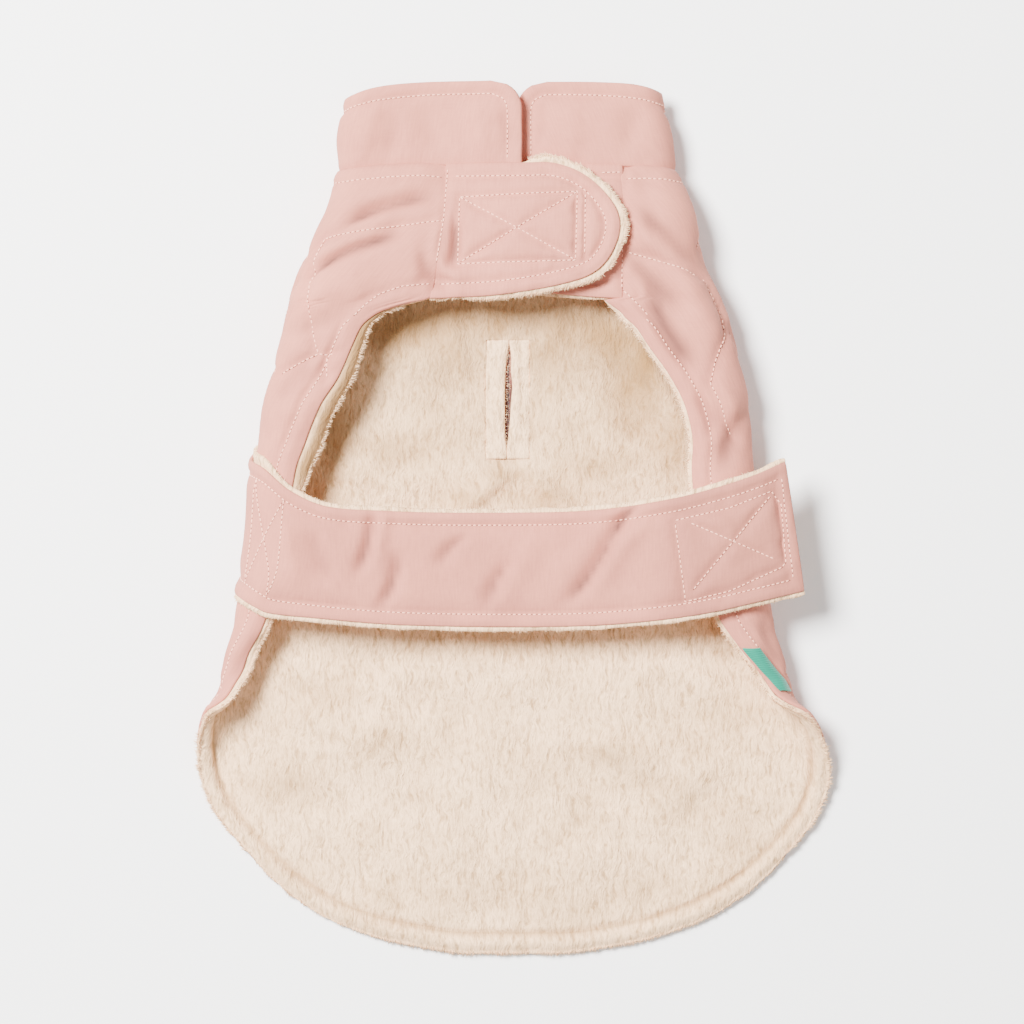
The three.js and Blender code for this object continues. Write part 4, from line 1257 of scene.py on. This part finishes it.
def tab_plan(rows, outline, across, down, widen=None):
    """Plan points of a tab from its join to its tip; widen lets out its top, tip and lower edges."""
    seam = GAP if rows is BODY_LEFT else -GAP
    ys = np.linspace(NECK_Y, JOIN_LOW_Y, down)
    join = join_point(rows, ys)[:, :2] + np.array([seam, 0])
    end = outline["end"]
    tip = spline(end, down, outline["top"][-1], outline["bottom"][0])
    top = spline([join[0], *outline["top"], end[0]], across, None, end[1])
    low = spline([join[-1], *outline["bottom"][::-1], end[-1]], across, None, end[-2])
    if widen:
        rim = np.concatenate([top, tip[1:-1], low[::-1]])
        along = unit(np.gradient(rim, axis=0))
        side = 1 if rows is BODY_LEFT else -1
        out = side * np.column_stack([-along[:, 1], along[:, 0]])
        far = np.abs(rim[:, 0] - join[0, 0])
        more = np.concatenate([widen[0] * ease(36, 50, far[:across]), np.full(down - 2, widen[1]),
                               1.8 + (widen[2] - 1.8) * ease(0, 16, far[-across:])])
        padded = np.concatenate([np.full(4, more[0]), more, np.full(4, more[-1])])
        rim = rim + out * np.convolve(padded, np.ones(9) / 9, "valid")[:, None]
        top, low = rim[:across], rim[-across:][::-1]
        tip = np.concatenate([top[-1:], rim[across:-across], low[-1:]])
    a, b = np.linspace(0, 1, across)[None, :, None], np.linspace(0, 1, down)[:, None, None]
    return (top[None] * (1 - b) + low[None] * b + join[:, None] * (1 - a) + tip[:, None] * a
            - (top[0] * (1 - a) * (1 - b) + low[0] * (1 - a) * b + tip[0] * a * (1 - b) + tip[-1] * a * b))


def tab_base(rows, plan):
    """A tab's outer face with its soft folds."""
    x, y = plan[..., 0], plan[..., 1]
    z = tab_height(rows, x, y)
    soft = 0.5 * wander(x, y, 22, 41) * ease(0, 16, np.abs(x - x[:, :1]))
    if rows is BODY_LEFT:
        soft = soft + 0.9 * np.exp(-((y - 116) / 4) ** 2) * ease(-30, 10, x)
    soft = soft + folds_at(FRONT_FOLDS, x, y)
    return np.stack([x, y, z + soft * ease(176, 166, y)], axis=-1)


def build_tab(rows, outline, name, nodes, box):
    plan = tab_plan(rows, outline, 70, 50)
    grid = tab_base(rows, plan)
    normal = surface_normals(grid, (0, 0, -1))
    left = rows is BODY_LEFT
    edge = to_edge(grid, np.concatenate([grid[0], grid[:, -1], grid[-1]]).tolist())
    x, y = plan[..., 0], plan[..., 1]
    join = np.abs(x - x[:, :1])
    d = to_lines(x, y, box) if box else np.full(x.shape, 99.0)
    across = to_lines(x, y, TAB_SEAMS)
    inset = RIM_INSET + 2.3 * ease(14, 0, join) * ease(150, 130, y)
    raised = -1.0 * dent(edge - inset, 1.8) + 0.7 * dent(edge - 2.8, 2.4)
    raised += -1.3 * dent(d, 1.9) - 0.9 * dent(across, 2.0)
    raised += 1.4 * (1 - np.exp(-d / 5)) * ease(7, 13, edge) * ease(0, 12, join)
    raised += 0.5 * wander(x, y, 4.6, 43) * (dent(d, 4.5) + dent(edge - RIM_INSET, 4))
    raised += 0.5 * wander(x, y, 15, 44)
    # painted shade in the tab's creases, on the outer face only
    piece = wall_object(name + "_outer_cloth", grid, normal, -raised, CLOTH_WALL, plan.copy(),
                        look("Plain-weave quilted polyester"), 0.7,
                        shade=(painted_crease_shade(FRONT_FOLDS, x, y), 0.0 * x))
    finish_piece(piece, [nodes[0]])
    under = tab_base(rows, tab_plan(rows, outline, 84, 60, (3.2, 3.4, 3.2) if left else (0.0, 0.4, 2.2)))
    normal = surface_normals(under, (0, 0, -1))
    rim = to_edge(under, np.concatenate([under[0, 30:], under[:, -1], under[-1]]).tolist())
    fuzz = 0.5 * wander(under[..., 0], under[..., 1], 3.2, 45)
    puff = 1.1 * dent(rim - 1.4, 1.4) + fuzz * dent(rim, 2.0)
    if not left:
        puff = puff * ease(112.5, 110, under[..., 1])
    piece = wall_object(name + "_plush_lining", under, normal, LINING_DEPTH - puff, 4.5 + fuzz * 0.4,
                        under[..., :2].copy(), look("Short-pile plush"), 1.1, 5)
    finish_piece(piece, [nodes[1]])
    points, away, up, jj, ii = RIMS[name + "_plush_lining"]
    loose = jj == under.shape[0] - 1
    if left:
        loose |= (ii == under.shape[1] - 1) | ((jj == 0) & (points[:, 0] > 8))
    groups = np.split(np.flatnonzero(loose), np.where(np.diff(np.flatnonzero(loose)) > 1)[0] + 1)
    fringe(name + "_edge_pile", [(points[g], away[g], up[g]) for g in groups if len(g) > 2],
           14.0 if left else 6.0, 1.9 if left else 1.4, 0.45, 0.45)


TAB_BOX_LINES = [
    [(-26.5, 159), (32, 161.5), (31, 127), (-27.5, 125.5), (-26.5, 159)],
    [(-26.5, 159), (31, 127)],
    [(32, 161.5), (-27.5, 125.5)],
    [(36, 160.5), (35.5, 129)],
]


# ---------- collar ----------
def collar_grid(cells_front, cells_arc, cells_back, rows):
    """Cloth lengths and heights of a grid over the collar, with its front corners rounded off."""
    heights = np.linspace(0, COLLAR_HEIGHT, rows)
    grid_s = []
    for h in heights:
        up = max(h - (COLLAR_HEIGHT - COLLAR_CORNER), 0)
        end_x = COLLAR_CORNER - math.sqrt(max(COLLAR_CORNER**2 - up**2, 0))
        sides = []
        for column, past in COLLAR_PAST.items():
            out = float(column_at(COLLAR, "h", column, h))
            r = float(column_at(COLLAR, "h", "r", h))
            start = out - r
            top = start + math.pi * r
            end = top + start + past - end_x
            sides.append(np.concatenate([np.linspace(end, top, cells_front, endpoint=False),
                                         np.linspace(top, start, cells_arc, endpoint=False), [start]]))
        left, right = -sides[0], sides[1][::-1]
        middle = np.linspace(left[-1], right[0], cells_back + 1)[1:-1]
        grid_s.append(np.concatenate([left, middle, right]))
    return np.array(grid_s), np.broadcast_to(heights[:, None], (rows, len(grid_s[0])))


def build_collar():
    s, h = collar_grid(42, 20, 56, 26)
    grid = collar_surface(s, h)
    normal = surface_normals(grid, (0, 0, 1))
    x, y = grid[..., 0], grid[..., 1]
    edge = to_edge(grid, np.concatenate([grid[:, 0], grid[-1], grid[:, -1]]).tolist())
    up = ease(0.2, -0.2, normal[..., 2])
    groove = -1.0 * dent(edge - RIM_INSET, 1.9) + 0.4 * dent(edge - 3, 2.4)
    swell = 1.3 * dent(h - 18, 14) * ease(4, 12, edge)
    seam = -0.8 * dent(h, 2.4)
    soft = folds_at(COLLAR_FOLDS, x, y) + 0.6 * wander(s, h, 18, 51)
    soft += 0.4 * wander(s, h, 4.8, 52) * (dent(edge - RIM_INSET, 4) + dent(h, 5))
    raised = (soft + swell) * up + groove + seam
    raised = raised * up + np.clip(raised, -0.9, 0) * (1 - up)
    uv = np.stack([s, h], axis=-1)
    # painted shade in the collar's creases, on the faces that look up
    piece = wall_object("stand_collar", grid, normal, -raised, COLLAR_WALL + 0.25 * wander(s, h, 9, 53), uv,
                        look("Plain-weave quilted polyester"), 1.1, 6,
                        shade=(painted_crease_shade(COLLAR_FOLDS, x, y) * up, 0.0 * x))
    finish_piece(piece, ["collar"])
    lines = []
    for side in (-1, 1):
        column = "left" if side < 0 else "right"
        path = []
        for hh in np.linspace(2, COLLAR_HEIGHT - RIM_INSET, 14):
            up_h = max(hh - (COLLAR_HEIGHT - COLLAR_CORNER), 0)
            corner = COLLAR_CORNER - RIM_INSET
            bend = corner - math.sqrt(max(corner**2 - min(up_h, corner) ** 2, 0))
            out, r = (float(column_at(COLLAR, "h", c, hh)) for c in (column, "r"))
            end = out - r + math.pi * r + out - r + COLLAR_PAST[column]
            path.append((side * (end - RIM_INSET - bend), hh))
        path.extend((reach, COLLAR_HEIGHT - RIM_INSET) for reach in np.linspace(path[-1][0], 0, 90)[1:])
        lines.append(on_face(collar_surface, *np.array(path).T))
    sew("collar_topstitch", lines, piece)


# ---------- belly strap ----------
def strap_soft(p):
    """The strap's soft folds."""
    x, y = p[..., 0], p[..., 1]
    return folds_at(STRAP_FOLDS, x, y) + 0.45 * wander(x, y, 24, 61)


def strap_grid(across):
    """Stations and half-width shares of a grid over the strap, coarse where it is hidden round the side."""
    t = [np.linspace(k, k + 1, 2, endpoint=False) for k in range(11)]
    for k in range(11, 19):
        cells = 6 if k == 11 else 16 if k < 14 else 14
        t.append(np.linspace(k, k + 1, cells, endpoint=False))
    t = np.concatenate(t + [[19.0]])
    w = np.linspace(1, -1, across)
    ww, tt = np.meshgrid(w, t, indexing="ij")
    return tt, ww


def build_strap():
    tt, ww = strap_grid(36)
    grid = strap_surface(tt, ww)
    normal = surface_normals(grid, (0, 0, -1), (18, 90))
    soft = strap_soft(grid)
    rim = to_edge(grid, np.concatenate([grid[0], grid[:, -1], grid[-1]]).tolist())
    x, y = grid[..., 0], grid[..., 1]
    d = to_lines(x, y, STRAP_BOX_LINES) + 99 * (x < 70)
    raised = soft - 1.0 * dent(rim - 5.8, 1.8) + 0.5 * dent(rim - 2.6, 2.2) - 0.9 * dent(d, 1.8)
    raised += 1.0 * ease(6, 14, rim) * ease(0, 8, d + 1)
    raised += 0.42 * wander(x, y, 4.8, 62) * (dent(rim - 5.8, 4) + dent(d, 4)) + 0.3 * wander(x, y, 12, 63)
    along = run_along(grid[18])
    uv = np.stack(np.broadcast_arrays(along[None, :], ww * 30), axis=-1)
    # painted shade in the strap's creases and towards its free end, which turns away from the light, over an
    # even 0.05 darkening
    painted_outer_shade = painted_crease_shade(STRAP_FOLDS, x, y) + 0.05 + 0.2 * ease(62, 86, x)
    shell = wall_object("belly_strap_outer_cloth", grid, normal, -raised, CLOTH_WALL - soft, uv,
                        look("Plain-weave quilted polyester"), 0.7, shade=(painted_outer_shade, 0.0 * x))
    finish_piece(shell, ["strap_shell"])
    sides = []
    share = np.array([0.35, 0.7, 1.0])
    for row, other in ((0, 2), (-1, -3)):
        away = unit(grid[row] - grid[other])
        reach = (1.9 + 0.5 * wander(grid[row, :, 0], grid[row, :, 1], 9, 66)
                 + (2.6 if row == 0 else 0.8) * ease(-108, -124, grid[row, :, 0]))[:, None]
        sides.append([grid[row] + away * reach * f for f in share])
    under = np.concatenate([np.stack(sides[0][::-1]), grid, np.stack(sides[1])])
    soft_under = np.concatenate([soft[:1]] * 3 + [soft] + [soft[-1:]] * 3)
    uv_under = np.concatenate([uv[:1] + [[[0, 2.0 * f]]] for f in (1.0, 0.7, 0.35)] + [uv]
                              + [uv[-1:] - [[[0, 2.0 * f]]] for f in (0.35, 0.7, 1.0)])
    normal = surface_normals(under, (0, 0, -1), (20, 90))
    fuzz = 0.4 * wander(under[..., 0], under[..., 1], 3.2, 64)
    rim = to_edge(under, np.concatenate([under[0], under[-1]]).tolist())
    puff = 1.0 * dent(rim - 0.8, 1.3) + fuzz * dent(rim, 2)
    wall_object("belly_strap_plush_lining", under, normal, 2.1 - soft_under - puff,
                4.3 - soft_under + 0.3 * fuzz,
                uv_under, look("Short-pile plush"), 1.0, 5)
    piece = bpy.data.objects["belly_strap_plush_lining"]
    finish_piece(piece, ["strap_lining"])
    points, away, up, jj, ii = RIMS["belly_strap_plush_lining"]
    rows = [np.flatnonzero(jj == 0), np.flatnonzero(jj == under.shape[0] - 1)]
    fringe("strap_edge_pile", [(points[g], away[g], up[g]) for g in rows], 3.5, 1.3)
    lines = []
    for w in (0.8, -0.8):
        t = np.concatenate([np.linspace(0, 11, 60), np.linspace(11.05, 18.82, 150)])
        lines.append(on_strap(t, np.full_like(t, w)))
    lines.append(on_strap(np.full(24, 18.82), np.linspace(0.8, -0.8, 24)))
    lines.extend(from_above(line) for line in STRAP_BOX_LINES)
    for t0, t1, w0, w1 in ((6.6, 6.6, 0.8, -0.8), (10.6, 10.6, 0.8, -0.8), (6.6, 10.6, 0.8, -0.8),
                           (6.6, 10.6, -0.8, 0.8)):
        lines.append(on_strap(np.linspace(t0, t1, 30), np.linspace(w0, w1, 30)))
    sew("belly_strap_sewing", lines, shell)


def on_strap(t, w):
    """A line on the strap's outer face with its outward directions."""
    e = 0.02
    du = strap_surface(np.minimum(t + e, 18.99), w) - strap_surface(np.maximum(t - e, 0.01), w)
    dv = strap_surface(t, np.round(w + e, 6)) - strap_surface(t, np.round(w - e, 6))
    return strap_surface(t, w), unit(np.cross(du, dv))


STRAP_BOX_LINES = [
    [(80.2, -2.0), (107, 4.2), (128, 12.5), (133, 6), (135.3, -22.5), (133.5, -25), (107, -37),
     (85.5, -42.2), (80.2, -2.0)],
    [(127.5, 10.2), (88, -37.7)],
    [(88, -3.2), (131, -21.7)],
]


def build_tapes():
    for name, node_name, depth, thick, rows in (
        ("tab_hook_tape_piece", "tab_hook_tape", 4.9, 1.0, BODY_LEFT),
        ("tab_loop_tape_piece", "tab_loop_tape", -1.3, 1.0, BODY_RIGHT),
    ):
        xs, ys = np.linspace(TAB_BOX["x0"], TAB_BOX["x1"], 28), np.linspace(TAB_BOX["y1"], TAB_BOX["y0"], 18)
        x, y = np.meshgrid(xs, ys)
        grid = np.stack([x, y, tab_height(rows, x, y)], axis=-1)
        normal = surface_normals(grid, (0, 0, -1))
        piece = wall_object(name, grid, normal, depth, depth + thick, grid[..., :2].copy(),
                            look("Nylon hook tape"), 0.2)
        finish_piece(piece, [node_name])
    t, w = np.linspace(0.85 * 19, 0.985 * 19, 30), np.linspace(0.75, -0.75, 22)
    ww, tt = np.meshgrid(w, t, indexing="ij")
    grid = strap_surface(tt, ww)
    normal = surface_normals(grid, (0, 0, -1))
    soft = strap_soft(grid)
    piece = wall_object("strap_hook_tape_piece", grid, normal, STRAP_WALL + GAP - soft,
                        STRAP_WALL + GAP + 0.9 - soft,
                        np.stack([tt * 20, ww * 30], axis=-1), look("Nylon hook tape"), 0.2)
    finish_piece(piece, ["strap_hook_tape"])


def build_label():
    ys = np.linspace(-65.5, -87.5, 30)
    ends = side_section(BODY_RIGHT, ys)[3]
    f = np.linspace(0, 1, 12)
    s = ends[:, None] - 0.6 - 8.4 * f[None, :]
    base, soft = body_base(s, np.broadcast_to(ys[:, None], s.shape))
    normal = surface_normals(base, (0, 0, -1), (4, 6))
    bulge = 1.2 + 0.9 * np.sin(np.pi * f)[None, :] * np.ones((30, 1))
    uv = np.stack(np.broadcast_arrays(s, ys[:, None]), axis=-1)
    piece = wall_object("side_ribbon_label", base, normal, -bulge - soft - 0.8, -bulge - soft, uv,
                        look("Blank satin ribbon"), 0.3)
    finish_piece(piece, ["side_label"])


# ---------- settings ----------
class CoatColours(bpy.types.PropertyGroup):
    cloth_light: bpy.props.StringProperty(name="Cloth, light",
                                          description="Outer cloth where it is lightest", default="#C87F6A")
    cloth_shade: bpy.props.StringProperty(name="Cloth, shade", description="Outer cloth where it is deepest",
                                          default="#A86859")
    # painted shade colour for the outer cloth's creases, the inside of the leash slit and the strap's free
    # end
    cloth_painted_shade: bpy.props.StringProperty(name="Cloth, creases",
                                         description="Outer cloth down in its creases", default="#4A2C28")
    plush_light: bpy.props.StringProperty(name="Plush, tips", description="Tips of the plush pile",
                                          default="#FBD0A2")
    # the roots' colour is also the painted shade colour in the lining's hollows
    plush_roots_and_painted_shade: bpy.props.StringProperty(name="Plush, roots", description="Roots of the plush pile",
                                          default="#8C6639")
    fibre_shade: bpy.props.StringProperty(name="Loose fibre", description="Shaded loose fibres at the rims",
                                          default="#DDB78E")
    thread: bpy.props.StringProperty(name="Thread", description="Sewing thread", default="#F4B197")
    # painted shadow colour for the needle holes
    needle_hole_shadow: bpy.props.StringProperty(name="Needle hole", description="Shade in the needle holes",
                                          default="#6E3C33")
    ribbon_light: bpy.props.StringProperty(name="Ribbon, light", description="Label ribbon's ribs",
                                           default="#00866C")
    ribbon_shade: bpy.props.StringProperty(name="Ribbon, shade", description="Between the ribs",
                                           default="#006E58")
    tape_light: bpy.props.StringProperty(name="Tape, light", description="Hook tape's hooks",
                                         default="#C4AA86")
    tape_shade: bpy.props.StringProperty(name="Tape, shade", description="Hook tape's ground",
                                         default="#957856")


class CoatSizes(bpy.types.PropertyGroup):
    stitch_pitch: bpy.props.FloatProperty(name="Stitch pitch",
                                          description="Step from one stitch to the next", default=2.5 * MM,
                                          unit="LENGTH")
    camera_height: bpy.props.FloatProperty(name="Camera height",
                                           description="Camera's height over the table", default=1.9,
                                           unit="LENGTH")
    field: bpy.props.FloatProperty(name="Field", description="Width of table that the camera takes in",
                                   default=0.512, unit="LENGTH")


class COAT_OT_body(bpy.types.Operator):
    """Builds the back panel: outer cloth, plush lining, quilting and the welts of the leash slit"""
    bl_idname = "coat.body"
    bl_label = "Back panel"

    def execute(self, context):
        shell, lines, area = build_body_shell()
        finish_piece(shell, ["body_shell"])
        build_body_stitches(shell, lines)
        lining = build_body_lining()
        finish_piece(lining, ["body_lining"])
        build_welts()
        return {"FINISHED"}


class COAT_OT_tabs(bpy.types.Operator):
    """Builds the two overlapping chest tabs with their sewing"""
    bl_idname = "coat.tabs"
    bl_label = "Chest tabs"

    def execute(self, context):
        build_tab(BODY_LEFT, LEFT_TAB, "left_tab", ("left_tab_shell", "left_tab_lining"), TAB_BOX_LINES)
        build_tab(BODY_RIGHT, RIGHT_TAB, "right_tab", ("right_tab_shell", "right_tab_lining"), [])
        build_tab_stitches()
        return {"FINISHED"}


class COAT_OT_collar(bpy.types.Operator):
    """Builds the padded stand collar with its topstitching"""
    bl_idname = "coat.collar"
    bl_label = "Stand collar"

    def execute(self, context):
        build_collar()
        return {"FINISHED"}


class COAT_OT_strap(bpy.types.Operator):
    """Builds the belly strap with its lining and sewing"""
    bl_idname = "coat.strap"
    bl_label = "Belly strap"

    def execute(self, context):
        build_strap()
        return {"FINISHED"}


class COAT_OT_trim(bpy.types.Operator):
    """Builds the hook-and-loop tapes and the blank side label"""
    bl_idname = "coat.trim"
    bl_label = "Tapes and label"

    def execute(self, context):
        build_tapes()
        build_label()
        return {"FINISHED"}


class COAT_OT_stage(bpy.types.Operator):
    """Builds the table top, the studio light and the camera"""
    bl_idname = "coat.stage"
    bl_label = "Stage"

    def execute(self, context):
        sizes = context.scene.coat_sizes
        mesh = bpy.data.meshes.new("table_top")
        half, low = 4.0, -0.5 * MM
        corners = [(-half, -half, low), (half, -half, low), (half, half, low), (-half, half, low)]
        mesh.from_pydata(corners, [], [(0, 1, 2, 3)])
        table = bpy.data.objects.new("table_top", mesh)
        context.scene.collection.objects.link(table)
        matt = bpy.data.materials.new("Matt white paper")
        matt.use_nodes = True
        shader = matt.node_tree.nodes["Principled BSDF"]
        shader.inputs["Base Color"].default_value = linear("#FBFAF8")
        shader.inputs["Roughness"].default_value = 0.9
        mesh.materials.append(matt)
        world = bpy.data.worlds.new("Studio")
        context.scene.world = world
        world.use_nodes = True
        world.node_tree.nodes["Background"].inputs["Color"].default_value = (1, 1, 1, 1)
        world.node_tree.nodes["Background"].inputs["Strength"].default_value = 0.45
        for name, place, size, power in (
            ("key_light", (-0.95, 0.68, 1.85), 0.8, 262),
            ("fill_light", (0.9, -0.5, 2.0), 2.0, 22),
        ):
            data = bpy.data.lights.new(name, "AREA")
            data.shape = "DISK"
            data.size = size
            data.energy = power
            light = bpy.data.objects.new(name, data)
            light.location = place
            light.rotation_euler = (Vector((0, 0, 0)) - Vector(place)).to_track_quat("-Z", "Y").to_euler()
            context.scene.collection.objects.link(light)
        data = bpy.data.cameras.new("camera")
        data.sensor_width = 36
        height = sizes.camera_height
        data.lens = 36 * (height - 0.02) / sizes.field
        camera = bpy.data.objects.new("camera", data)
        camera.location = (-0.0006, 0.0034, height)
        camera.rotation_euler = (0, 0, 0)
        context.scene.collection.objects.link(camera)
        context.scene.camera = camera
        return {"FINISHED"}


class COAT_PT_panel(bpy.types.Panel):
    """Lists the steps that build the coat"""
    bl_idname = "COAT_PT_panel"
    bl_label = "Dog winter coat"
    bl_space_type = "VIEW_3D"
    bl_region_type = "UI"
    bl_category = "Coat"

    def draw(self, context):
        for step in STEPS:
            self.layout.operator(step.bl_idname)
        for group in (context.scene.coat_sizes, context.scene.coat_colours):
            for name in group.__annotations__:
                self.layout.prop(group, name)


STEPS = (COAT_OT_stage, COAT_OT_body, COAT_OT_tabs, COAT_OT_collar, COAT_OT_strap, COAT_OT_trim)
CLASSES = (CoatColours, CoatSizes, *STEPS, COAT_PT_panel)


def register():
    for cls in CLASSES:
        bpy.utils.register_class(cls)
    bpy.types.Scene.coat_colours = bpy.props.PointerProperty(type=CoatColours)
    bpy.types.Scene.coat_sizes = bpy.props.PointerProperty(type=CoatSizes)


def unregister():
    del bpy.types.Scene.coat_sizes
    del bpy.types.Scene.coat_colours
    for cls in reversed(CLASSES):
        bpy.utils.unregister_class(cls)


def main():
    register()
    bpy.ops.coat.stage()
    bpy.ops.coat.body()
    bpy.ops.coat.tabs()
    bpy.ops.coat.collar()
    bpy.ops.coat.strap()
    bpy.ops.coat.trim()


if __name__ == "__main__":
    main()
